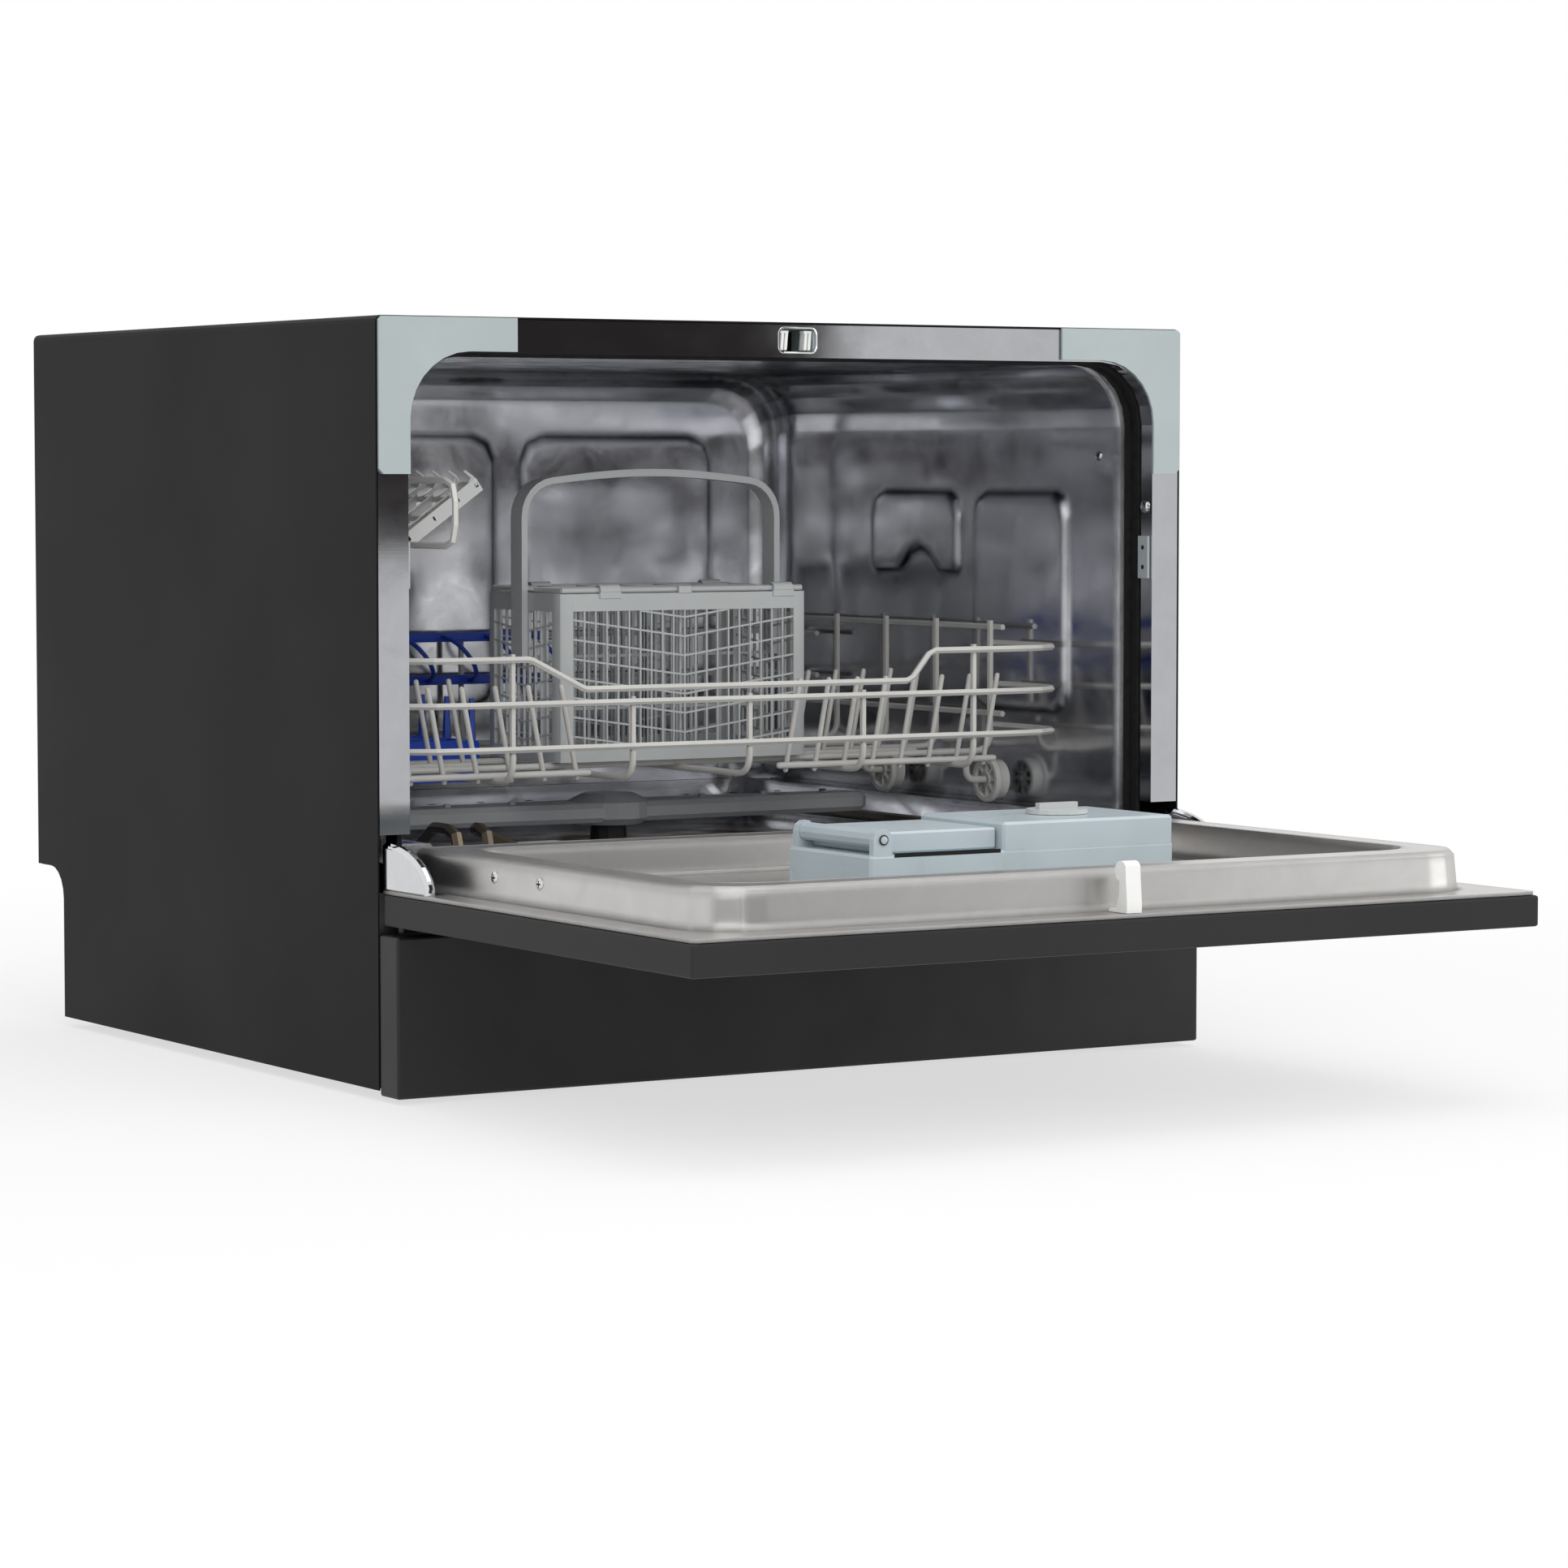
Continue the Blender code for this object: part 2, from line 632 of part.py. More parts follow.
def heating_element():
    """Bent heater tube that rises from the floor at the front left and loops round the tub."""
    (x0, y0), (x1, y1) = HEATER_LEGS
    bottom, bridge, low = TUB_FLOOR - 0.018, TUB_FLOOR + 0.027, TUB_FLOOR + 0.0095
    points = [(x0, y0, bottom), (x0, y0, bridge), (x0, y0 + 0.030, bridge), (x0, y0 + 0.060, low), (x0, 0.385, low),
              (-x0, 0.385, low), (-x0, 0.072, low), (x1 + 0.040, 0.072, low), (x1, 0.072, bridge), (x1, y1, bridge), (x1, y1, bottom)]
    return smooth(rod("heating_element", bend(points, 0.012, 2), 0.0035, 6, slot="heater_steel"))


def door_gasket():
    """Rubber seal round the mouth: a grooved arch with a flat strip across its foot."""
    inset, depth = 0.0015, 0.0010
    half, top, radius = OPENING_HALF - inset, OPENING_TOP - inset, OPENING_RADIUS - inset
    back = TUB_FRONT - GAP
    outline = arch_outline(half, top, TUB_FLOOR - 0.010, radius, (0.0028, 0.0025), radius + 0.0025)
    gasket = prism("door_gasket", outline, "y", FRAME_DEPTH + GAP, back, "black_rubber")
    groove = arch_outline(half - 0.01, top - 0.01, TUB_FLOOR - 0.020, radius - 0.01, (0.01 + depth, 0.01 + depth), radius + depth)
    cut(gasket, prism("groove", groove, "y", FRAME_DEPTH + 0.0045, FRAME_DEPTH + 0.0085))
    strip = block("strip", (-half - 0.0012, back - 0.0016, TUB_FLOOR - 0.0098), (half + 0.0012, back, TUB_FLOOR - 0.001))
    return smooth(fuse(gasket, strip))


def latch_housing():
    """White latch box behind the frame's window, open to the front for the door's hook."""
    front = FRAME_SHEET + GAP
    low, high = OPENING_TOP + FRAME_SHEET + GAP, BODY_HEIGHT - CASING_SHEET - 0.0004 - FRAME_SHEET - GAP
    box = block("latch_housing", (-0.022, front, low), (0.022, TUB_FRONT - GAP, high), "white_plastic")
    pocket = block("pocket", (-LATCH_HALF + 0.001, front - 0.01, LATCH_LOW + 0.0002), (LATCH_HALF - 0.001, TUB_FRONT - GAP - 0.0010, LATCH_HIGH - 0.0003))
    return cut(box, pocket)


def hinge_bracket(name, side):
    """Steel bracket behind the frame, whose nose reaches forward to the hinge pin."""
    nose = arc((HINGE_Y, HINGE_Z), HINGE_NOSE, 90, 270, 5)
    low, high = nose[-1][1], nose[0][1]
    outline = nose + [(0.004, low), (0.004, 0.0122), (0.024, 0.0122), (0.024, BRACKET_TOP), (0.012, BRACKET_TOP), (0.006, high)]
    inner, outer = HINGE_PLATE
    start, end = sorted((side * inner, side * outer))
    bracket = prism(name, outline, "x", start, end, "zinc_steel")
    hole = turn("hole", disc_profile(0.0034, -0.01, 0.01), (side * (inner + outer) / 2, HINGE_Y, HINGE_Z), "x", 10)
    cut(bracket, hole)
    flange_start, flange_end = sorted((side * (inner + 0.001), side * (outer + 0.0045)))
    flange = block("flange", (flange_start, 0.0218, 0.020), (flange_end, 0.0242, high))
    return fuse(bracket, flange)


HINGE_PLATE = (BODY_WIDTH / 2 - 0.0180, BODY_WIDTH / 2 - 0.0150)


def hinge_leaf(name, side):
    """Steel leaf inside the door's edge, with the pin that turns in the bracket's nose."""
    low = DOOR_UNDER + DOOR_WALL + GAP
    outline = rounded_box((HINGE_Y - 0.030, low), (HINGE_Y + 0.0065, DOOR_TOP - 0.001), 0.004, 2)
    start, end = sorted((side * (HINGE_PLATE[1] + 0.0025), side * (HINGE_PLATE[1] + 0.0050)))
    leaf = prism(name, outline, "x", start, end, "zinc_steel")
    pin = turn("pin", disc_profile(0.0030, -0.0050, 0.0035), (0, 0, 0), "x", 10)
    pin.data.transform(Matrix.Scale(side, 4, (1, 0, 0)))
    pin.data.transform(Matrix.Translation((side * (HINGE_PLATE[0] + 0.0040), HINGE_Y, HINGE_Z)))
    if side < 0:
        pin.data.flip_normals()
    return smooth(fuse(leaf, pin))


def sump():
    """Sump bowl below the tub floor, with the duct and the post that carry the spray arm."""
    top = TUB_FLOOR - TUB_SHEET - GAP
    x, y = SUMP_XY
    bowl = turn("sump", [(0, 0.070), (0.044, 0.070), (0.050, 0.076), (0.056, top - 0.006), (0.062, top - 0.004), (0.062, top), (0, top)],
                (x, y, 0), "z", 16, "black_plastic")
    hx, hy = HUB_XY
    away = Vector((hx - x, hy - y, 0))
    duct = block("duct", (0.040, -0.014, top - 0.024), (away.length + 0.004, 0.014, top - 0.0005))
    duct.data.transform(Matrix.Translation((x, y, 0)) @ Matrix.Rotation(math.atan2(away.y, away.x), 4, "Z"))
    post_top = TUB_FLOOR + 0.0125
    post = turn("post", [(0, top - 0.026), (0.018, top - 0.026), (0.018, top), (0.0120, top), (0.0110, post_top), (0.0050, post_top),
                         (0.0050, post_top + 0.014), (0, post_top + 0.014)], (hx, hy, 0), "z", 12)
    fuse(bowl, duct, post)
    inside = turn("inside", [(0, 0.0735), (0.042, 0.0735), (0.047, 0.079), (0.051, top - 0.006), (0.0515, top + 0.01), (0, top + 0.01)],
                  (x, y, 0), "z", 16)
    return smooth(cut(bowl, inside))


def filter_plate():
    """Round steel filter plate over the sump, with radial slots."""
    low = TUB_FLOOR + GAP
    high = low + 0.0020
    plate = turn("filter_plate", [(0.0292, low), (0.058, low), (0.0575, high), (0.0292, high)], (*SUMP_XY, 0), "z", 20, "polished_steel")
    slots = []
    for i in range(10):
        slot = block("slot", (0.035, -0.0016, low - 0.01), (0.050, 0.0016, high + 0.01))
        slot.data.transform(Matrix.Translation((*SUMP_XY, 0)) @ Matrix.Rotation(2 * math.pi * i / 10, 4, "Z"))
        slots.append(slot)
    return cut(plate, *slots)


def filter_cup():
    """Fine filter cup, turned a quarter by the bar on its top to release it."""
    seat_z = TUB_FLOOR + GAP + 0.0020 + GAP
    rim = seat_z + 0.0022
    cup = turn("filter_cup", [(0, 0.080), (0.0270, 0.080), (0.0280, 0.083), (0.0280, seat_z), (0.0330, seat_z), (0.0325, rim), (0.0260, rim),
                              (0.0255, 0.083), (0, 0.0825)], (*SUMP_XY, 0), "z", 16, "blue_plastic")
    x, y = SUMP_XY
    bar = block("bar", (x - 0.0275, y - 0.0025, rim - 0.004), (x + 0.0275, y + 0.0025, rim + 0.006))
    return smooth(fuse(cup, bar))


def salt_cap():
    """Screw cap of the salt tank, ribbed round its rim, with a bar across the top."""
    low = TUB_FLOOR + GAP
    top = low + 0.0105
    cap = turn("salt_cap", [(0.0224, low), (0.0270, low), (0.0270, top - 0.002), (0.0250, top), (0, top), (0, top - 0.0022), (0.0224, top - 0.0022)],
               (*SALT_XY, 0), "z", 18, "white_plastic")
    x, y = SALT_XY
    bar = block("bar", (x - 0.020, y - 0.003, top - 0.001), (x + 0.020, y + 0.003, top + 0.0025))
    return smooth(fuse(cap, bar))


def water_softener():
    """Resin and salt tank in the base, with the filling neck that stands up through the floor."""
    x, y = SALT_XY
    floor = CASING_BOTTOM + BASE_WALL + GAP
    top = TUB_FLOOR - TUB_SHEET - 0.006
    tank = block("water_softener", (x - 0.050, TUB_FRONT + 0.012, floor), (x + 0.055, y + 0.110, top), "pale_plastic")
    soften(tank, 0.004, 1)
    neck_top = TUB_FLOOR + GAP + 0.0105 - 0.0022 - GAP
    collar_top = TUB_FLOOR - TUB_SHEET - GAP
    neck = turn("neck", [(0, top - 0.004), (0.0300, top - 0.004), (0.0300, collar_top), (0.0220, collar_top), (0.0220, neck_top), (0, neck_top)],
                (x, y, 0), "z", 20)
    bore = turn("bore", disc_profile(0.0190, top - 0.030, neck_top + 0.01), (x, y, 0), "z", 20)
    fuse(tank, neck)
    return smooth(cut(tank, bore))


def spray_arm():
    """Lower spray arm: a flat tapered wing each side of its hub, with raised jets."""
    low = TUB_FLOOR + 0.015
    top = low + 0.012
    x, y = HUB_XY
    outline = [(ARM_REACH - 0.014, -0.014)] + arc((ARM_REACH - 0.014, 0), 0.014, -60, 60, 4) + [(ARM_REACH - 0.014, 0.014), (0.026, 0.022)]
    outline += [(-a, -b) for a, b in outline]
    arm = prism("spray_arm", outline, "z", low, top, "rack_nylon")
    soften(arm, 0.003, 1, 50)
    bottom = TUB_FLOOR + 0.0125 + GAP
    hub = turn("hub", [(0, bottom), (0.020, bottom), (0.026, low + 0.002), (0.026, top), (0.016, top + 0.005), (0, top + 0.005)], (0, 0, 0), "z", 20)
    jets = []
    for side in (-1, 1):
        for i in range(3):
            jet = turn("jet", [(0, top - 0.002), (0.0035, top - 0.002), (0.0022, top + 0.002), (0, top + 0.002)],
                       (side * (0.070 + 0.045 * i), side * 0.003, 0), "z", 5)
            jets.append(jet)
    fuse(arm, hub, *jets)
    bore = turn("bore", disc_profile(0.0055, bottom - 0.01, bottom + 0.0145), (0, 0, 0), "z", 14)
    cut(arm, bore)
    arm.data.transform(Matrix.Translation((x, y, 0)))
    return smooth(arm)


def circulation_pump():
    """Wash pump lying in the base: motor can, volute and foot."""
    x, y, z = 0.060, BASE_DEPTH - 0.1395, 0.0500
    can = turn("circulation_pump", [(0, 0), (0.018, 0), (0.032, 0.006), (0.032, 0.070), (0.040, 0.074), (0.040, 0.096), (0.030, 0.102), (0.012, 0.104),
                                    (0.012, 0.122), (0, 0.122)], (x, y, z), "x", 16, "black_plastic")
    foot = block("foot", (x + 0.020, y - 0.022, CASING_BOTTOM + BASE_WALL + GAP), (x + 0.085, y + 0.022, z - 0.020))
    outlet = turn("outlet", disc_profile(0.011, 0, 0.036), (x + 0.085, y, z + 0.020), "z", 10)
    return smooth(fuse(can, foot, outlet))


def drain_pump():
    """Small drain pump whose spigot leaves through the rear wall for the waste hose."""
    x, z = DRAIN_XZ
    y = BASE_DEPTH - 0.0895
    floor = CASING_BOTTOM + BASE_WALL + GAP
    can = turn("drain_pump", disc_profile(0.022, -0.030, 0.040), (x, y, z), "x", 14, "black_plastic")
    foot = block("foot", (x - 0.020, y - 0.016, floor), (x + 0.030, y + 0.016, z - 0.010))
    pipe = turn("pipe", [(0, -0.074), (0.0090, -0.074), (0.0090, -0.012), (0.0118, -0.012), (0.0118, 0.004), (0.0090, 0.030), (0, 0.030)], (x, BASE_DEPTH, z), "y", 12)
    fuse(can, foot, pipe)
    bore = turn("bore", disc_profile(0.0065, 0.0, 0.05), (x, BASE_DEPTH, z), "y", 12)
    return smooth(cut(can, bore))


def inlet_valve():
    """Water inlet valve, with its collar in the rear wall and the hose stub outside."""
    x, z = INLET_XZ
    floor = CASING_BOTTOM + BASE_WALL + GAP
    stub = turn("inlet_valve", [(0, -0.020), (0.0138, -0.020), (0.0138, 0.004), (0.0170, 0.004), (0.0170, 0.007), (0.0130, 0.007), (0.0130, 0.024),
                                (0.0120, 0.026), (0, 0.026)], (x, BASE_DEPTH, z), "y", 16, "white_plastic")
    coil = block("coil", (x - 0.016, BASE_DEPTH - 0.052, z - 0.014), (x + 0.016, BASE_DEPTH - 0.018, z + 0.022))
    foot = block("foot", (x - 0.010, BASE_DEPTH - 0.048, floor), (x + 0.010, BASE_DEPTH - 0.024, z - 0.010))
    fuse(stub, coil, foot)
    bore = turn("bore", disc_profile(0.0085, 0.002, 0.05), (x, BASE_DEPTH, z), "y", 12)
    return smooth(cut(stub, bore))


def cable_gland():
    """Gland for the mains cable in the rear wall."""
    x, z = GLAND_XZ
    profile = [(0.0042, -0.010), (0.0110, -0.010), (0.0110, -0.0032), (0.0088, -0.0030), (0.0088, 0.0004), (0.0115, 0.0006),
               (0.0115, 0.004), (0.0070, 0.014), (0.0042, 0.014)]
    return smooth(turn("cable_gland", profile, (x, BASE_DEPTH, z), "y", 14, "black_plastic"))


def door_outer_panel():
    """Black outer shell of the door: a tray with a grip recess, open towards the liner."""
    back = -DOOR_BACK
    shell = block("door_outer_panel", (-DOOR_HALF, -DOOR_REACH, DOOR_UNDER), (DOOR_HALF, back, DOOR_TOP), "black_enamel")
    soften(shell, 0.0015, 2)
    wall = DOOR_WALL
    cut(shell, block("inside", (-DOOR_HALF + wall, -DOOR_REACH + wall, DOOR_UNDER + wall), (DOOR_HALF - wall, back - wall, DOOR_TOP + 0.01)))
    grip_front, grip_back, grip_half = -DOOR_REACH + 0.008, -DOOR_REACH + 0.032, 0.075
    fuse(shell, block("grip", (-grip_half, grip_front, DOOR_UNDER + 0.001), (grip_half, grip_back, DOOR_UNDER + 0.013)))
    pocket = block("pocket", (-grip_half + wall, grip_front + wall, DOOR_UNDER - 0.01), (grip_half - wall, grip_back - wall, DOOR_UNDER + 0.011))
    fascia_hole = block("fascia_hole", (-FASCIA_HALF - GAP, FASCIA_FRONT - GAP, DOOR_UNDER - 0.01),
                        (FASCIA_HALF + GAP, FASCIA_REAR + GAP, DOOR_UNDER + wall + 0.001))
    notches = []
    for side in (-1, 1):
        start, end = sorted((side * (HINGE_PLATE[0] - 0.0015), side * (HINGE_PLATE[1] + 0.0015)))
        notches.append(block("notch", (start, back - 0.010, DOOR_UNDER + 0.0021), (end, back + 0.010, DOOR_TOP + 0.01)))
    return cut(shell, pocket, fascia_hole, *notches)


FASCIA_HALF = BODY_WIDTH / 2 - 0.013
FASCIA_FRONT = -DOOR_REACH + 0.0405
FASCIA_REAR = FASCIA_FRONT + 0.048
BUTTON_RADIUS = 0.0070
BUTTON_Y = FASCIA_FRONT + 0.024
BUTTON_X = {"power_button": -0.220, "program_button": -0.120, "delay_button": 0.120, "start_button": 0.220}
DISPLAY_HALF = (0.042, 0.011)


def control_fascia():
    """Gloss control strip let into the door's face, with a rim behind and holes for the buttons."""
    front = DOOR_UNDER
    rim = DOOR_UNDER + DOOR_WALL + GAP
    strip = block("control_fascia", (-FASCIA_HALF, FASCIA_FRONT, front), (FASCIA_HALF, FASCIA_REAR, rim + 0.0005), "glass_black")
    rim_plate = block("rim", (-FASCIA_HALF - 0.003, FASCIA_FRONT - 0.003, rim), (FASCIA_HALF + 0.003, FASCIA_REAR + 0.003, rim + 0.0015))
    fuse(strip, rim_plate)
    holes = [turn("hole", disc_profile(BUTTON_RADIUS + 0.0004, front - 0.01, rim + 0.01), (x, BUTTON_Y, 0), "z", 16) for x in BUTTON_X.values()]
    wide, deep = DISPLAY_HALF
    window = block("window", (-wide - GAP, BUTTON_Y - deep - GAP, front - 0.01), (wide + GAP, BUTTON_Y + deep + GAP, rim + 0.01))
    return cut(strip, window, *holes)


def display_window():
    """Clear window of the display, held by its rim behind the fascia."""
    wide, deep = DISPLAY_HALF
    rim = DOOR_UNDER + DOOR_WALL + GAP + 0.0015 + GAP
    pane = block("display_window", (-wide, BUTTON_Y - deep, DOOR_UNDER), (wide, BUTTON_Y + deep, rim + 0.0005), "glass_black")
    return fuse(pane, block("rim", (-wide - 0.002, BUTTON_Y - deep - 0.002, rim), (wide + 0.002, BUTTON_Y + deep + 0.002, rim + 0.0012)))


def push_button(name):
    """Round sprung button with its captive collar."""
    collar = DOOR_UNDER + DOOR_WALL + GAP + 0.0015 + GAP
    face = DOOR_UNDER - 0.0015
    r = BUTTON_RADIUS
    profile = [(0, face), (r - 0.001, face), (r, face + 0.001), (r, collar), (r + 0.0016, collar), (r + 0.0016, collar + 0.0012), (0, collar + 0.0012)]
    return smooth(turn(name, profile, (BUTTON_X[name], BUTTON_Y, 0), "z", 14, "button_grey"))


def control_board():
    """Circuit board behind the fascia on its four posts."""
    rim_top = DOOR_UNDER + DOOR_WALL + GAP + 0.0015
    low, high = DOOR_UNDER + 0.0085, DOOR_UNDER + 0.0101
    board = block("control_board", (-0.240, FASCIA_FRONT + 0.002, low), (0.240, FASCIA_REAR - 0.002, high), "board_green")
    posts = [turn("post", disc_profile(0.003, rim_top + GAP, low + 0.0005), (x, y, 0), "z", 6)
             for x in (-0.170, 0.170) for y in (FASCIA_FRONT + 0.008, FASCIA_REAR - 0.008)]
    chips = [block("chip", (x - 0.010, BUTTON_Y - 0.008, high - 0.0004), (x + 0.010, BUTTON_Y + 0.008, high + 0.0040)) for x in (-0.060, 0.010, 0.080)]
    return fuse(board, *posts, *chips)


def liner_ring(half, front, rear, z, front_radius, rear_radius):
    """One level of the door liner: a rectangle with its own corner radii at front and rear."""
    points = arc((half - front_radius, front + front_radius), front_radius, -90, 0, 4)
    points += arc((half - rear_radius, rear - rear_radius), rear_radius, 0, 90, 3)
    points += [(-x, y) for x, y in reversed(points)]
    return [Vector((x, y, z)) for x, y in points]


LINER_FRONT = -DOOR_REACH + 0.0222
LINER_REAR = 0.0055
DISH_FLOOR = 0.1205


def door_liner():
    """Pressed steel inner door: a lip, a standing flank, the track for the wheels and the dish."""
    base, front, rear = DOOR_TOP + GAP, LINER_FRONT, LINER_REAR
    lip_half, lip_front, lip_rear = DOOR_HALF - 0.0012, -DOOR_REACH + 0.0012, 0.001
    corner = OPENING_RADIUS - 0.0008
    flank = OPENING_HALF - 0.0017
    foot = LIP_Z + 0.004
    rings = [liner_ring(lip_half, lip_front, lip_rear, base, 0.004, 0.003),
             liner_ring(lip_half, lip_front, lip_rear, LIP_Z, 0.004, 0.003),
             liner_ring(flank, front - 0.0016, lip_rear - 0.0005, LIP_Z, corner, 0.004),
             liner_ring(flank - 0.0012, front - 0.0002, lip_rear + 0.0015, foot, corner - 0.0010, 0.005),
             liner_ring(flank - 0.0027, front + 0.0013, rear, TRACK_Z - 0.0025, corner - 0.0022, 0.006),
             liner_ring(flank - 0.0050, front + 0.0036, rear - 0.0012, TRACK_Z, corner - 0.0040, 0.006),
             liner_ring(TRACK_INNER, front + 0.0250, -0.0200, TRACK_Z, 0.026, 0.016),
             liner_ring(TRACK_INNER - 0.0012, front + 0.0264, -0.0212, TRACK_Z - 0.0030, 0.026, 0.016),
             liner_ring(TRACK_INNER - 0.0032, front + 0.0290, -0.0236, DISH_FLOOR + 0.0025, 0.027, 0.017),
             liner_ring(TRACK_INNER - 0.0050, front + 0.0310, -0.0256, DISH_FLOOR, 0.028, 0.018)]
    liner = loft("door_liner", rings, "polished_steel", cap_first=False)
    if sum(face.normal.z * face.area for face in liner.data.polygons) < 0:
        liner.data.flip_normals()
    thicken(liner, LINER_SHEET)
    notches = []
    for side in (-1, 1):
        start, end = sorted((side * (HINGE_PLATE[0] - 0.0015), side * (HINGE_PLATE[1] + 0.0015)))
        notches.append(block("notch", (start, -0.045, DOOR_TOP - 0.01), (end, 0.020, LIP_Z + 0.003)))
    return smooth(cut(liner, *notches), 30)


def hinge_cover(name, side):
    """Quarter-round cheek beside the liner, which fills the slot under the frame's leg."""
    low = LIP_Z + GAP
    inner, outer = sorted((side * 0.2655, side * 0.2722))
    reach, height = 0.052, 0.0243
    outline = [(0.0, low)]
    for i in range(8):
        angle = math.radians(90 * i / 7)
        outline.append((-reach * math.sin(angle), low + height * math.cos(angle)))
    cheek = prism(name, outline, "x", inner, outer, "polished_steel")
    return soften(cheek, 0.0008, 1, 50)


def latch_hook():
    """White hook near the door's free edge, which enters the latch window."""
    low = LIP_Z + GAP
    foot = -DOOR_REACH + 0.0042
    outline = [(foot, low), (foot + 0.0165, low), (foot + 0.0165, low + 0.0018), (foot + 0.0104, low + 0.0018), (foot + 0.0074, low + 0.0090)]
    outline += [(foot + 0.0068, low + 0.0165), (foot + 0.0104, low + 0.0184)]
    outline += arc((foot + 0.0060, low + 0.0224), 0.0052, -10, 150, 6)
    outline += [(foot + 0.0012, low + 0.0190), (foot, low + 0.0060)]
    hook = prism("latch_hook", outline, "x", -0.0048, 0.0048, "white_plastic")
    return smooth(hook, 30)


DISPENSER_HALF = 0.100
DISPENSER_FRONT = -0.236
DISPENSER_REAR = -0.152
DISPENSER_DECK = 0.146
DISPENSER_TOP = 0.161
LID_AXIS_X = -0.0915
LID_AXIS_Z = DISPENSER_DECK + 0.0085
LID_LEFT = -0.088
LID_RIGHT = -0.015
RINSE_XY = (0.050, -0.194)


def dispenser_body():
    """Detergent and rinse-aid dispenser on the dish: base, powder cup and raised tank."""
    low = DISH_FLOOR + GAP
    base = block("dispenser_body", (-DISPENSER_HALF, DISPENSER_FRONT, low), (DISPENSER_HALF, DISPENSER_REAR, DISPENSER_DECK), "dispenser_plastic")
    soften(base, 0.0015, 1)
    tank = block("tank", (LID_RIGHT + 0.001, DISPENSER_FRONT + 0.0003, DISPENSER_DECK - 0.003), (DISPENSER_HALF - 0.0003, DISPENSER_REAR - 0.0003, DISPENSER_TOP))
    soften(tank, 0.0015, 1)
    ears = []
    for y in (DISPENSER_FRONT + 0.003, DISPENSER_REAR - 0.003):
        outline = [(LID_AXIS_X - 0.006, DISPENSER_DECK - 0.004), (LID_AXIS_X + 0.006, DISPENSER_DECK - 0.004)]
        outline += arc((LID_AXIS_X, LID_AXIS_Z), 0.006, 0, 180, 5)
        ears.append(prism("ear", outline, "y", y - 0.0022, y + 0.0022))
    fuse(base, tank, *ears)
    cup = prism("cup", rounded_box((LID_LEFT + 0.008, DISPENSER_FRONT + 0.014), (LID_RIGHT - 0.006, DISPENSER_REAR - 0.014), 0.008, 2), "z",
                low + 0.003, DISPENSER_DECK + 0.02)
    filler = turn("filler", disc_profile(0.0150, DISPENSER_TOP - 0.014, DISPENSER_TOP + 0.01), (*RINSE_XY, 0), "z", 18)
    pins = turn("pins", disc_profile(0.0020, -0.10, 0.10), (LID_AXIS_X, (DISPENSER_FRONT + DISPENSER_REAR) / 2, LID_AXIS_Z), "y", 8)
    return cut(base, cup, filler, pins)


def dispenser_lid():
    """Flap over the powder cup, with the barrel and pin of its spring hinge."""
    y0, y1 = DISPENSER_FRONT + 0.0058, DISPENSER_REAR - 0.0058
    axis_z = LID_AXIS_Z
    lid = block("dispenser_lid", (LID_LEFT, y0, DISPENSER_DECK + GAP), (LID_RIGHT, y1, DISPENSER_TOP - 0.003), "dispenser_plastic")
    soften(lid, 0.0012, 1)
    middle = (y0 + y1) / 2
    barrel = turn("barrel", disc_profile(0.0050, y0 - middle, y1 - middle), (LID_AXIS_X, middle, axis_z), "y", 10)
    web = block("web", (LID_AXIS_X, y0 + 0.004, axis_z - 0.0030), (LID_LEFT + 0.003, y1 - 0.004, axis_z + 0.0030))
    pin = turn("pin", disc_profile(0.0016, y0 - 0.0050 - middle, y1 + 0.0050 - middle), (LID_AXIS_X, middle, axis_z), "y", 8)
    fuse(lid, barrel, web, pin)
    pan = prism("pan", rounded_box((LID_LEFT + 0.004, y0 + 0.006), (LID_RIGHT - 0.004, y1 - 0.006), 0.006, 2), "z",
                DISPENSER_DECK - 0.01, DISPENSER_TOP - 0.006)
    return cut(lid, pan)


def rinse_aid_cap():
    """Round cap of the rinse-aid tank, turned a quarter to open, with a grip bar."""
    low = DISPENSER_TOP - 0.012
    top = DISPENSER_TOP + GAP
    cap = turn("rinse_aid_cap", [(0, low), (0.0130, low), (0.0145, low + 0.002), (0.0145, top), (0.0175, top), (0.0170, top + 0.0025), (0, top + 0.0025)],
               (*RINSE_XY, 0), "z", 18, "blue_plastic")
    x, y = RINSE_XY
    bar = block("bar", (x - 0.013, y - 0.002, top + 0.0015), (x + 0.013, y + 0.002, top + 0.0060))
    return smooth(fuse(cap, bar))


def wire(points, radius=WIRE, bends=0.0, steps=2):
    path = bend(points, bends, steps) if bends else points
    return rod("wire", path, radius)


def front_fence():
    """Three bent rails across the front of the basket; the top one dips in the middle."""
    half, y = BASKET_HALF, BASKET_FRONT
    ends = 0.1465
    rails = []
    for z in (0.191, 0.217):
        rails.append(wire([(-half, ends, z), (-half, y, z), (half, y, z), (half, ends, z)], bends=0.045, steps=4))
    dip, z = FENCE_TOP - 0.018, FENCE_TOP
    top = [(-half, ends, z), (-half, y, z), (-0.150, y, z), (-0.114, y, dip), (0.112, y, dip), (0.127, y, z), (half, y, z), (half, ends, z)]
    rounded = bend(top[:3], 0.045, 4)[:-1] + bend(top[1:7], 0.006, 1)[1:-1] + bend(top[5:], 0.045, 4)[1:]
    rails.append(wire(rounded))
    return rails


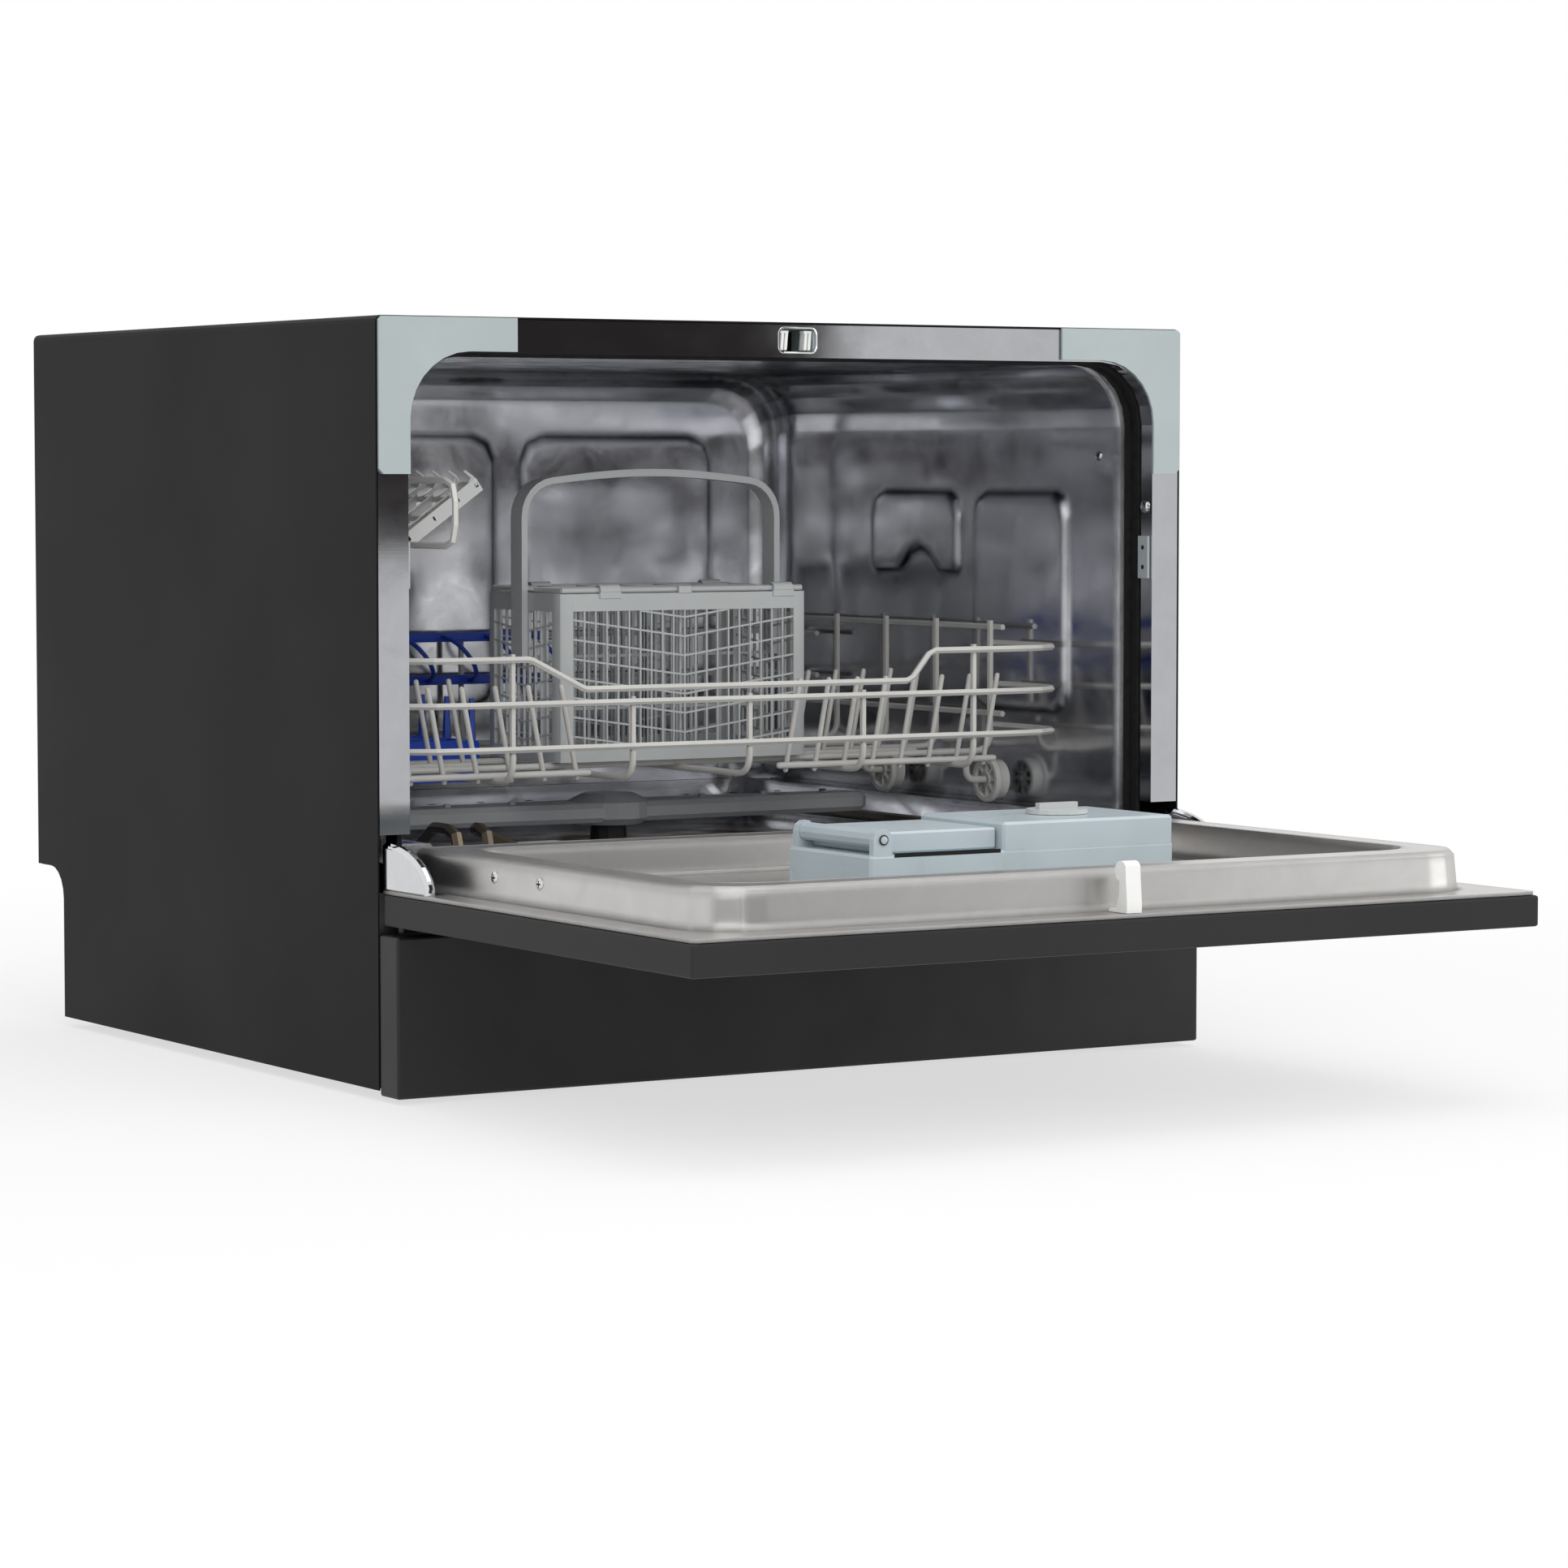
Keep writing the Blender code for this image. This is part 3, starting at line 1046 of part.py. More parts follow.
def side_and_rear_rails():
    rails = []
    for side in (-1, 1):
        for z in (0.198, SIDE_TOP):
            rails.append(wire([(side * BASKET_HALF, 0.133, z), (side * BASKET_HALF, BASKET_REAR - 0.004, z)]))
    for z in (0.215, FENCE_TOP):
        rails.append(wire([(-BASKET_HALF, 0.355, z), (-BASKET_HALF, BASKET_REAR, z), (BASKET_HALF, BASKET_REAR, z), (BASKET_HALF, 0.355, z)],
                          bends=0.017))
    return rails


INNER_SIDE = BASKET_HALF - 2 * WIRE + WELD
CROSS_Y = tuple(y - 2 * WIRE + 0.0006 for y in WHEEL_Y) + (0.205, 0.325, 0.385)
LONG_X = (-0.160, -0.080, 0.0, 0.080, 0.160)


INNER_FRONT = BASKET_FRONT + 2 * WIRE - WELD
INNER_REAR = BASKET_REAR - 2 * WIRE + WELD


def floor_wires():
    """The crossed wires of the floor, turned up at both ends to meet the ribs."""
    wires = []
    for y in CROSS_Y:
        path = [(-INNER_SIDE, y, RIB_FOOT), (-INNER_SIDE, y, CROSS_Z), (INNER_SIDE, y, CROSS_Z), (INNER_SIDE, y, RIB_FOOT)]
        wires.append(wire(path, bends=0.012))
    for x in LONG_X:
        path = [(x, INNER_FRONT, RIB_FOOT), (x, INNER_FRONT, FLOOR_Z), (x, INNER_REAR, FLOOR_Z), (x, INNER_REAR, RIB_FOOT)]
        wires.append(wire(path, bends=0.014))
    return wires


def ribs():
    """The upright wires that carry the rails."""
    foot, wires = RIB_FOOT + GAP, []
    for y in CROSS_Y:
        for x in (-INNER_SIDE, INNER_SIDE):
            wires.append(wire([(x, y, foot), (x, y, SIDE_TOP + 0.004)]))
    for x in LONG_X:
        high = 0.217 if abs(x) < 0.1 else FENCE_TOP
        wires.append(wire([(x, INNER_FRONT, foot), (x, INNER_FRONT, high + 0.003)]))
        wires.append(wire([(x, INNER_REAR, foot), (x, INNER_REAR, FENCE_TOP + 0.003)]))
    return wires


def wheel_axles():
    """Bent wires under the floor whose ends are the wheels' axles."""
    axles = []
    for y in WHEEL_Y:
        for side in (-1, 1):
            axles.append(wire([(side * 0.194, y, CROSS_Z), (side * 0.216, y, CROSS_Z), (side * 0.216, y, WHEEL_Z), (side * 0.2412, y, WHEEL_Z)],
                              radius=0.0022, bends=0.007))
    return axles


TINE_ROWS = ((0.076, -1, -0.214, 0.022, 6), (0.176, -1, -0.214, 0.022, 5), (0.076, 1, 0.040, 0.0205, 8), (0.176, 1, 0.108, 0.0205, 5))


def tines():
    """Rows of leaning tines for the plates, each row on its own carrier wire."""
    wires = []
    lean = 0.010
    for y, side, first, pitch, count in TINE_ROWS:
        last = first + pitch * (count - 1)
        wires.append(wire([(min(first, -0.214 if side < 0 else 0.040) - 0.006, y, CROSS_Z), (max(last, 0.166 if side > 0 else last) + 0.006, y, CROSS_Z)]))
        for i in range(count):
            x = first + pitch * i
            beside = y + WIRE + TINE - WELD
            wires.append(rod("tine", [(x, beside, CROSS_Z - 0.003), (x + side * lean, beside, CROSS_Z + 0.082)], TINE))
    return wires


TALL_Y = (0.134, 0.269, 0.404)


def upper_frame():
    """Raised wire frame on the left side, which carries the cup shelves."""
    x, r = -UPPER_X, 0.012
    corners = [(x, UPPER_FRONT, UPPER_LOW), (x, UPPER_FRONT, UPPER_HIGH), (x, UPPER_REAR, UPPER_HIGH), (x, UPPER_REAR, UPPER_LOW)]
    loop = []
    for i in range(4):
        loop += bend([corners[i - 1], corners[i], corners[(i + 1) % 4]], r, 2)[1:-1]
    wires = [rod("loop", loop, WIRE, closed=True)]
    outside = x - 2 * WIRE + WELD
    for y in TALL_Y:
        beside = -BASKET_HALF + 2 * WIRE + GAP
        wires.append(wire([(beside, y, 0.194), (beside, y, 0.258), (outside, y, 0.275), (outside, y, UPPER_HIGH + 0.001)], bends=0.008))
    return welded("upper_frame", wires)


def welded(name, pieces):
    """One nylon-coated body out of crossing wires."""
    frame = pieces[0]
    fuse(frame, *pieces[1:])
    frame.name = name
    frame.data.materials.clear()
    frame.data.materials.append(finish("rack_nylon"))
    return smooth(frame, 80)


def basket_frame():
    """The wall of the dish basket: its rails and ribs."""
    return welded("basket_frame", front_fence() + side_and_rear_rails() + ribs())


def basket_floor():
    """The floor of the dish basket, with the tines and the wheels' axles."""
    return welded("basket_floor", floor_wires() + wheel_axles() + tines())


def rack_wheel(name, side, y):
    """Wheel with a tread, a hub and a web with windows between them."""
    r, w = WHEEL_RADIUS, WHEEL_WIDTH
    half = w / 2
    profile = [(0.0026, -half), (0.0050, -half), (0.0050, half - 0.003), (r - 0.0028, half - 0.003), (r - 0.0028, -half),
               (r, -half), (r, half - 0.0012), (r - 0.0012, half), (0.0026, half)]
    wheel = turn(name, profile, (0, 0, 0), "x", 14, "rack_nylon")
    slots = []
    for i in range(7):
        slot = block("slot", (half - 0.006, -0.0017, 0.0062), (half + 0.006, 0.0017, 0.0104))
        slot.data.transform(Matrix.Rotation(2 * math.pi * (i + 0.5) / 7, 4, "X"))
        slots.append(slot)
    cut(wheel, *slots)
    if side < 0:
        wheel.data.transform(Matrix.Rotation(math.pi, 4, "Z"))
    wheel.data.transform(Matrix.Translation((side * WHEEL_X, y, WHEEL_Z)))
    return smooth(wheel)


SHELF_LENGTH = 0.164
SHELF_WIDTH = 0.062
SHELF_TILT = 35
SHELF_Y = {"cup_shelf_front": 0.074, "cup_shelf_rear": 0.2590}


def cup_shelf(name):
    """Folding cup shelf: a grid clipped on the frame's lower wire, with teeth on its free edge."""
    y0 = SHELF_Y[name]
    plate = block(name, (0.0030, y0, -0.0015), (SHELF_WIDTH, y0 + SHELF_LENGTH, 0.0015), "pale_plastic")
    holes = []
    columns, margin, bar = 8, 0.004, 0.0036
    pitch = (SHELF_LENGTH - 2 * margin + bar) / columns
    for low, high in ((0.0085, 0.0310), (0.0345, 0.0575)):
        for i in range(columns):
            start = y0 + margin + pitch * i
            holes.append(block("hole", (low, start, -0.01), (high, start + pitch - bar, 0.01)))
    cut(plate, *holes)
    extras = []
    for start in (y0 + 0.0004, y0 + SHELF_LENGTH - 0.0024):
        extras.append(block("band", (0.0060, start, -0.0045), (SHELF_WIDTH - 0.0003, start + 0.0020, 0.0035)))
    for i in range(columns + 1):
        y = y0 + 0.004 + (SHELF_LENGTH - 0.008) / columns * i
        extras.append(block("tooth", (SHELF_WIDTH - 0.0030, y - 0.0012, 0.0010), (SHELF_WIDTH - 0.0006, y + 0.0012, 0.0095)))
    for y in (y0 + 0.028, y0 + SHELF_LENGTH - 0.040):
        clip = arc((0, 0), 0.0046, -150, 150, 7) + arc((0, 0), 0.0024, 150, -150, 7)
        extras.append(prism("clip", clip, "y", y, y + 0.010))
    fuse(plate, *extras)
    plate.data.transform(Matrix.Rotation(-math.radians(SHELF_TILT), 4, "Y"))
    fuse(plate, block("heel", (0.0022, y0 + 0.002, -0.0135), (0.0040, y0 + SHELF_LENGTH - 0.002, 0.0030)))
    plate.data.transform(Matrix.Translation((-UPPER_X, 0, UPPER_LOW)))
    return plate


INSERT_X = (-0.214, -0.088)
INSERT_Y = (0.232, 0.402)


def plate_insert():
    """Blue plastic insert on the floor wires at the rear left: slanted ribs and upright pegs."""
    (x0, x1), (y0, y1) = INSERT_X, INSERT_Y
    low = CROSS_Z + WIRE + GAP
    high = low + 0.009
    grid = block("plate_insert", (x0, y0, low), (x1, y1, high), "blue_plastic")
    windows = []
    count = 5
    pitch = (y1 - y0 - 0.006) / count
    for i in range(count):
        start = y0 + 0.004 + pitch * i
        for left, right in ((x0 + 0.005, -0.154), (-0.148, x1 - 0.005)):
            skew = 0.006
            outline = [(left, start), (right, start + skew), (right, start + pitch - 0.004), (left, start + pitch - 0.004 - skew)]
            windows.append(prism("window", outline, "z", low - 0.01, high + 0.01))
    cut(grid, *windows)
    pegs = []
    for i in range(count + 1):
        y = y0 + 0.003 + pitch * i - (0.0005 if i == count else 0)
        for x in (x0 + 0.0030, -0.151, x1 - 0.0030):
            pegs.append(turn("peg", [(0, high - 0.003), (0.0030, high - 0.003), (0.0017, high + 0.026), (0, high + 0.026)], (x, y, 0), "z", 5))
    skirt = block("skirt", (x0 + 0.0003, y0 - 0.0020, FLOOR_Z - 0.011), (x1 - 0.0003, y0 + 0.0006, high - 0.001))
    fuse(grid, skirt, *pegs)
    slots = [block("slot", (x - WIRE - 0.0006, y0 - 0.01, FLOOR_Z - 0.02), (x + WIRE + 0.0006, y0 + 0.002, FLOOR_Z + WIRE + 0.0006))
             for x in LONG_X if x0 < x < x1]
    return cut(grid, *slots)


def glass_insert():
    """Blue holder for stemmed glasses on the rear rails: two bars joined by curved ribs."""
    x0, x1 = -0.112, 0.062
    rear = BASKET_REAR - 3 * WIRE + WELD - GAP
    bars = []
    for z in (0.215, FENCE_TOP):
        bars.append(block("bar", (x0, rear - 0.0040, z - 0.0045), (x1, rear, z + 0.0045)))
    ribs = []
    count = 6
    for i in range(count):
        x = x0 + 0.004 + (x1 - x0 - 0.008) / (count - 1) * i
        depth, height = 0.026, (FENCE_TOP - 0.215) / 2
        middle = (FENCE_TOP + 0.215) / 2
        outer, inner = [], []
        for k in range(7):
            angle = math.radians(90 + 180 * k / 6)
            outer.append((rear - 0.001 + depth * math.cos(angle), middle + (height + 0.0035) * math.sin(angle)))
            inner.append((rear - 0.001 + (depth - 0.005) * math.cos(angle), middle + (height - 0.0015) * math.sin(angle)))
        ribs.append(prism("rib", outer + list(reversed(inner)), "x", x - 0.0015, x + 0.0015))
    insert = bars[0]
    fuse(insert, bars[1], *ribs)
    insert.name = "glass_insert"
    insert.data.materials.clear()
    insert.data.materials.append(finish("blue_plastic"))
    return insert


def lattice_windows(first, last, low, high, columns, rows):
    """Slanted windows that fall towards the middle of a panel, as outlines on its plane."""
    bar_u, bar_v, slope = 0.0028, 0.0034, 0.28
    pitch_u = (last - first + bar_u) / columns
    drop = slope * (last - first) / 2
    pitch_v = (high - low - drop + bar_v) / rows
    middle = (first + last) / 2
    outlines = []
    for i in range(columns):
        left = first + pitch_u * i
        right = left + pitch_u - bar_u
        fall_left = drop - slope * abs(left - middle)
        fall_right = drop - slope * abs(right - middle)
        for j in range(rows):
            top = high - pitch_v * j
            outlines.append([(left, top - fall_left), (left, top - fall_left - pitch_v + bar_v), (right, top - fall_right - pitch_v + bar_v),
                             (right, top - fall_right)])
    return outlines


def cutlery_basket():
    """Cutlery basket with lattice walls and partitions, open at the top."""
    half, front, rear = CUTLERY_HALF, CUTLERY_FRONT, CUTLERY_REAR
    low, top, wall = CROSS_Z + WIRE + GAP, CUTLERY_TOP, CUTLERY_WALL
    basket = prism("cutlery_basket", rounded_box((-half, front), (half, rear), 0.005, 2), "z", low, top, "pale_plastic")
    middle = (front + rear) / 2
    for x0, x1 in ((-half + wall, -0.001), (0.001, half - wall)):
        for y0, y1 in ((front + wall, middle - 0.001), (middle + 0.001, rear - wall)):
            cut(basket, block("pocket", (x0, y0, low + 0.003), (x1, y1, top + 0.01)))
    sill, head = low + 0.020, top - 0.022
    cutters = []
    for x0, x1 in ((-0.079, -0.008), (0.008, 0.079)):
        for outline in lattice_windows(x0, x1, sill, head, 3, 3):
            for y0, y1 in ((front - 0.01, front + wall + 0.001), (rear - wall - 0.001, rear + 0.01)):
                cutters.append(prism("window", outline, "y", y0, y1))
    for y0, y1 in ((front + 0.010, middle - 0.005), (middle + 0.005, rear - 0.010)):
        for outline in lattice_windows(y0, y1, sill, head, 2, 2):
            for x0, x1 in ((-half - 0.01, -half + wall + 0.001), (half - wall - 0.001, half + 0.01)):
                cutters.append(prism("window", outline, "x", x0, x1))
    return cut(basket, *cutters)


def cutlery_handle():
    """Tall carrying arch that grips the two ends of the cutlery basket."""
    outer, top, foot = CUTLERY_HALF + GAP + 0.0040, 0.353, CUTLERY_TOP - 0.040
    inner = CUTLERY_HALF + GAP
    half_depth = 0.007
    middle = (CUTLERY_FRONT + CUTLERY_REAR) / 2
    r, rise, sheet = 0.024, 0.005, 0.0045
    side_top = top - rise - r

    def line(edge, radius, crown):
        shoulder = arc((outer - r, side_top), radius, 0, 84, 6)
        last = shoulder[-1]
        for k in range(1, 6):
            share = k / 5
            shoulder.append((last[0] * (1 - share), last[1] + (crown - last[1]) * math.sin(share * math.pi / 2)))
        half_line = [(edge, foot)] + shoulder
        return half_line + [(-x, z) for x, z in reversed(half_line[:-1])]

    outer_line = line(outer, r, top)
    inner_line = line(inner, r - sheet + 0.0005, top - sheet)
    arch = prism("cutlery_handle", outer_line + list(reversed(inner_line)), "y", middle - half_depth, middle + half_depth, "pale_plastic")
    return smooth(arch, 30)


LID_GAP = 0.0100


def cutlery_lid(name, side):
    """Half lid over the cutlery basket: a grid that turns on a bar at the outer edge."""
    middle = (CUTLERY_FRONT + CUTLERY_REAR) / 2
    axis_y = CUTLERY_FRONT + 0.0030 if side < 0 else CUTLERY_REAR - 0.0030
    low = CUTLERY_TOP + GAP
    inner_y = middle + side * LID_GAP
    y0, y1 = sorted((axis_y, inner_y))
    half = CUTLERY_HALF - 0.002
    plate = block(name, (-half, y0, low + 0.0008), (half, y1, low + 0.0028), "pale_plastic")
    holes = []
    columns, bar = 6, 0.004
    pitch = (2 * half - 0.010 + bar) / columns
    inset_outer = 0.006
    h0, h1 = (y0 + inset_outer, y1 - 0.004) if side < 0 else (y0 + 0.004, y1 - inset_outer)
    for i in range(columns):
        start = -half + 0.005 + pitch * i
        holes.append(block("hole", (start, h0, low - 0.01), (start + pitch - bar, h1, low + 0.01)))
    cut(plate, *holes)
    bar_rod = turn("bar", disc_profile(0.0018, -half + 0.0005, half - 0.0005), (0, axis_y, low + 0.0018), "x", 10)
    return smooth(fuse(plate, bar_rod), 30)


def build():
    clear_scene()
    cabinet = body("cabinet", (0, 0, 0))
    seat(cabinet, outer_casing(), rear_panel(), base_tray(), plinth_panel(), *feet(), front_frame(), corner_cover("corner_cover_left", -1),
         corner_cover("corner_cover_right", 1), tub(), tub_floor(), door_gasket(), latch_housing(), hinge_bracket("hinge_bracket_left", -1),
         hinge_bracket("hinge_bracket_right", 1), heating_element(), sump(), filter_plate(), water_softener(), circulation_pump(),
         drain_pump(), inlet_valve(), cable_gland())
    seat(body("filter_axis", (*SUMP_XY, TUB_FLOOR)), filter_cup())
    seat(body("salt_axis", (*SALT_XY, TUB_FLOOR)), salt_cap())
    seat(body("arm_axis", (*HUB_XY, TUB_FLOOR)), spray_arm())

    door = body("door_axis", (0, HINGE_Y, HINGE_Z))
    seat(door, door_outer_panel(), door_liner(), control_fascia(), display_window(), control_board(), hinge_leaf("hinge_leaf_left", -1),
         hinge_leaf("hinge_leaf_right", 1), hinge_cover("hinge_cover_left", -1), hinge_cover("hinge_cover_right", 1), latch_hook(),
         dispenser_body())
    for name, x in BUTTON_X.items():
        seat(body(name + "_axis", (x, BUTTON_Y, DOOR_UNDER)), push_button(name))
    lid_middle = (DISPENSER_FRONT + DISPENSER_REAR) / 2
    seat(body("dispenser_lid_axis", (LID_AXIS_X, lid_middle, LID_AXIS_Z)), dispenser_lid())
    seat(body("rinse_cap_axis", (*RINSE_XY, DISPENSER_TOP)), rinse_aid_cap())

    basket = body("basket_axis", (0, BASKET_FRONT, FLOOR_Z))
    seat(basket, basket_frame(), basket_floor(), upper_frame(), plate_insert(), glass_insert(), cutlery_basket(), cutlery_handle())
    for side, side_name in ((-1, "left"), (1, "right")):
        for y, end_name in zip(WHEEL_Y, ("front", "rear")):
            name = "wheel_" + end_name + "_" + side_name
            seat(body(name + "_axis", (side * WHEEL_X, y, WHEEL_Z)), rack_wheel(name, side, y))
    for name, y in SHELF_Y.items():
        seat(body(name + "_axis", (-UPPER_X, y, UPPER_LOW)), cup_shelf(name))
    lid_z = CUTLERY_TOP + GAP + 0.0018
    seat(body("lid_front_axis", (0, CUTLERY_FRONT + 0.0030, lid_z)), cutlery_lid("cutlery_lid_front", -1))
    seat(body("lid_rear_axis", (0, CUTLERY_REAR - 0.0030, lid_z)), cutlery_lid("cutlery_lid_rear", 1))


build()
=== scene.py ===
"""The looks of a countertop dishwasher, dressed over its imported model.

Every length is in metres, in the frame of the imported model: x runs across the front,
y runs into the cabinet and z stands on the worktop. The door lies open and the dish
basket is pushed home. Each sub-assembly is a class that builds its own pieces, hangs
them on the body that carries them and gives every surface its finish.
"""
import logging
import math
from dataclasses import dataclass
from enum import Enum

import bmesh
import bpy
from mathutils import Matrix, Vector


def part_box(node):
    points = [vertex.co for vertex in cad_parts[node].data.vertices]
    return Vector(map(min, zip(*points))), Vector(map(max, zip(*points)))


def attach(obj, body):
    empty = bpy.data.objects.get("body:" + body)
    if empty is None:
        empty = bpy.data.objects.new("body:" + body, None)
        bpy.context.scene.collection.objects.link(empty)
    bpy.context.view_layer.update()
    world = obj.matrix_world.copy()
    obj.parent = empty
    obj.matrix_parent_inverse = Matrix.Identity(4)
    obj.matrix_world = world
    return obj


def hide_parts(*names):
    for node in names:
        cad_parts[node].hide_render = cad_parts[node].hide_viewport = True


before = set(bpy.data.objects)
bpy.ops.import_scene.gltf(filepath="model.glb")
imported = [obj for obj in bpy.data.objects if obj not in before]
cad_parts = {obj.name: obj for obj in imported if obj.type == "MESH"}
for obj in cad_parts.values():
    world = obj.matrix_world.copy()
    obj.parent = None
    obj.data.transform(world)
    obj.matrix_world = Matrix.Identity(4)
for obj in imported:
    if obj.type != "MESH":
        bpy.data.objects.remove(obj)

LOG = logging.getLogger("dishwasher")
MILLIMETRE = 0.001
HALF_TURN = math.pi
FULL_TURN = 2 * math.pi
WHITE = (1.0, 1.0, 1.0, 1.0)

Point = tuple[float, float, float]
Outline = list[tuple[float, float]]
Tree = bpy.types.NodeTree
Socket = bpy.types.NodeSocket
Node = bpy.types.Node
Material = bpy.types.Material

BUTTONS = ("power_button", "program_button", "delay_button", "start_button")


class Axis(Enum):
    """The direction that a form is drawn along."""

    X = "X"
    Y = "Y"
    Z = "Z"


class Lay(Enum):
    """The way that the polishing or rolling marks run on a sheet of steel."""

    ACROSS = "across"
    UPRIGHT = "upright"
    CLOUDED = "clouded"


# ---------------------------------------------------------------- node tools


def linear_colour(hex_colour: str) -> tuple[float, float, float, float]:
    """Turn an sRGB hex colour into the linear one that a shader takes.

    Args:
        hex_colour: the colour as "#RRGGBB".

    Returns:
        Red, green, blue and a full alpha.
    """
    channels = []
    for start in (1, 3, 5):
        value = int(hex_colour[start:start + 2], 16) / 255
        channels.append(value / 12.92 if value <= 0.04045 else ((value + 0.055) / 1.055) ** 2.4)
    return (*channels, 1.0)


def fill(tree: Tree, node: Node, sockets: dict) -> None:
    """Fill a node's inputs with values, or link them to the outputs that feed them.

    Args:
        tree: the node tree.
        node: the node.
        sockets: input name or number, and a value or the output that feeds it.
    """
    for socket, value in sockets.items():
        if isinstance(value, Socket):
            tree.links.new(value, node.inputs[socket])
        else:
            node.inputs[socket].default_value = value


def add_node(tree: Tree, kind: str, sockets: dict, **settings) -> Node:
    """Add one node, with its settings made and its inputs filled.

    Args:
        tree: the node tree that takes it.
        kind: the node's type name.
        sockets: what fills its inputs.
        settings: the node's own properties.

    Returns:
        The new node.
    """
    node = tree.nodes.new(kind)
    for name, value in settings.items():
        setattr(node, name, value)
    fill(tree, node, sockets)
    return node


def spread(tree: Tree, value: Socket, low: float, high: float) -> Socket:
    """Map a pattern's middle range, 0.3 to 0.7, onto low to high.

    Args:
        tree: the node tree.
        value: the pattern's output.
        low: result at the pattern's dark end.
        high: result at its bright end.

    Returns:
        The mapped output.
    """
    node = add_node(tree, "ShaderNodeMapRange", {"Value": value, "From Min": 0.3, "From Max": 0.7,
                                                 "To Min": low, "To Max": high})
    return node.outputs["Result"]


def noise(tree: Tree, point: Socket, size_mm: float, **sockets: float) -> Socket:
    """Add a noise whose patches have a real size.

    Args:
        tree: the node tree.
        point: the coordinate that it is drawn on.
        size_mm: the size of a patch.
        sockets: its other inputs.

    Returns:
        The pattern's output.
    """
    inputs = {"Vector": point, "Scale": 1 / (size_mm * MILLIMETRE)} | sockets
    return add_node(tree, "ShaderNodeTexNoise", inputs).outputs["Fac"]


def relief(tree: Tree, height: Socket, strength: float, depth_mm: float,
           **sockets: Socket) -> Socket:
    """Raise a pattern as relief of a real depth.

    Args:
        tree: the node tree.
        height: the pattern.
        strength: how strongly it shows.
        depth_mm: its depth.
        sockets: the normal that it is laid over, if there is one.

    Returns:
        The normal that results.
    """
    inputs = {"Height": height, "Strength": strength, "Distance": depth_mm * MILLIMETRE} | sockets
    return add_node(tree, "ShaderNodeBump", inputs).outputs["Normal"]


def mix(tree: Tree, share: Socket, first: tuple, second: tuple) -> Socket:
    """Mix two colours.

    Args:
        tree: the node tree.
        share: how much of the second there is.
        first: the first colour, linear.
        second: the second.

    Returns:
        The mixed colour.
    """
    mixer = add_node(tree, "ShaderNodeMix", {"Factor": share, 6: first, 7: second}, data_type="RGBA")
    return mixer.outputs[2]


def seen_directly(tree: Tree) -> Socket:
    """Give 1 for rays from the camera, a mirror or a clear body, and 0 for the light's own rays."""
    rays = tree.nodes.new("ShaderNodeLightPath").outputs
    seen = add_node(tree, "ShaderNodeMath", {0: rays["Is Camera Ray"], 1: rays["Is Glossy Ray"]},
                    operation="ADD")
    seen = add_node(tree, "ShaderNodeMath", {0: seen.outputs[0], 1: rays["Is Transmission Ray"]},
                    operation="ADD", use_clamp=True)
    return seen.outputs[0]


# ------------------------------------------------------------------ finishes


@dataclass(frozen=True)
class Finish:
    """What every finish has: a name, a colour and a roughness."""

    name: str
    colour: str
    roughness: float

    def begin(self) -> tuple[Material, Tree, Node]:
        """Start the material with its plain colour and roughness.

        Returns:
            The material, its node tree and its shader.
        """
        material = bpy.data.materials.new("look_" + self.name)
        material.use_nodes = True
        tree = material.node_tree
        shader = tree.nodes["Principled BSDF"]
        shader.inputs["Base Color"].default_value = linear_colour(self.colour)
        shader.inputs["Roughness"].default_value = self.roughness
        material.diffuse_color = linear_colour(self.colour)
        return material, tree, shader

    def place(self, tree: Tree, stretch: Point = (1.0, 1.0, 1.0)) -> Socket:
        """Give the point on the piece in metres, which rides with the piece as it moves.

        Args:
            tree: the node tree.
            stretch: how much the pattern is squeezed along each axis.

        Returns:
            The mapped coordinate.
        """
        where = tree.nodes.new("ShaderNodeTexCoord")
        mapped = add_node(tree, "ShaderNodeMapping", {"Vector": where.outputs["Object"], "Scale": stretch})
        return mapped.outputs["Vector"]

    def tint(self, tree: Tree, amount: Socket, low: float,
             high: float) -> Socket:
        """Vary the colour's brightness with a pattern.

        Args:
            tree: the node tree.
            amount: the pattern.
            low: brightness at the dark end, as a share of the colour.
            high: brightness at the bright end.

        Returns:
            The colour that results.
        """
        red, green, blue, alpha = linear_colour(self.colour)
        dark = (red * low, green * low, blue * low, alpha)
        light = (min(1.0, red * high), min(1.0, green * high), min(1.0, blue * high), alpha)
        return mix(tree, spread(tree, amount, 0.0, 1.0), dark, light)

    def build(self) -> Material:
        """Make the plain material."""
        return self.begin()[0]


@dataclass(frozen=True)
class PowderCoat(Finish):
    """Baked powder coat on sheet steel: even satin black with a fine orange peel."""

    peel_mm: float = 1.4
    peel_depth_mm: float = 0.012
    patch_mm: float = 120.0
    shine: float = 0.12

    def build(self) -> Material:
        """Make the coat, drawn a little coarser than life so that it shows."""
        material, tree, shader = self.begin()
        point = self.place(tree)
        peel = noise(tree, point, self.peel_mm, Detail=1.0, Roughness=0.4)
        patch = noise(tree, point, self.patch_mm, Detail=3.0)
        fill(tree, shader, {"Base Color": self.tint(tree, patch, 0.94, 1.06),
                            "Roughness": spread(tree, patch, self.roughness - 0.03, self.roughness + 0.04),
                            "Normal": relief(tree, peel, 0.35, self.peel_depth_mm),
                            "Specular IOR Level": self.shine})
        return material


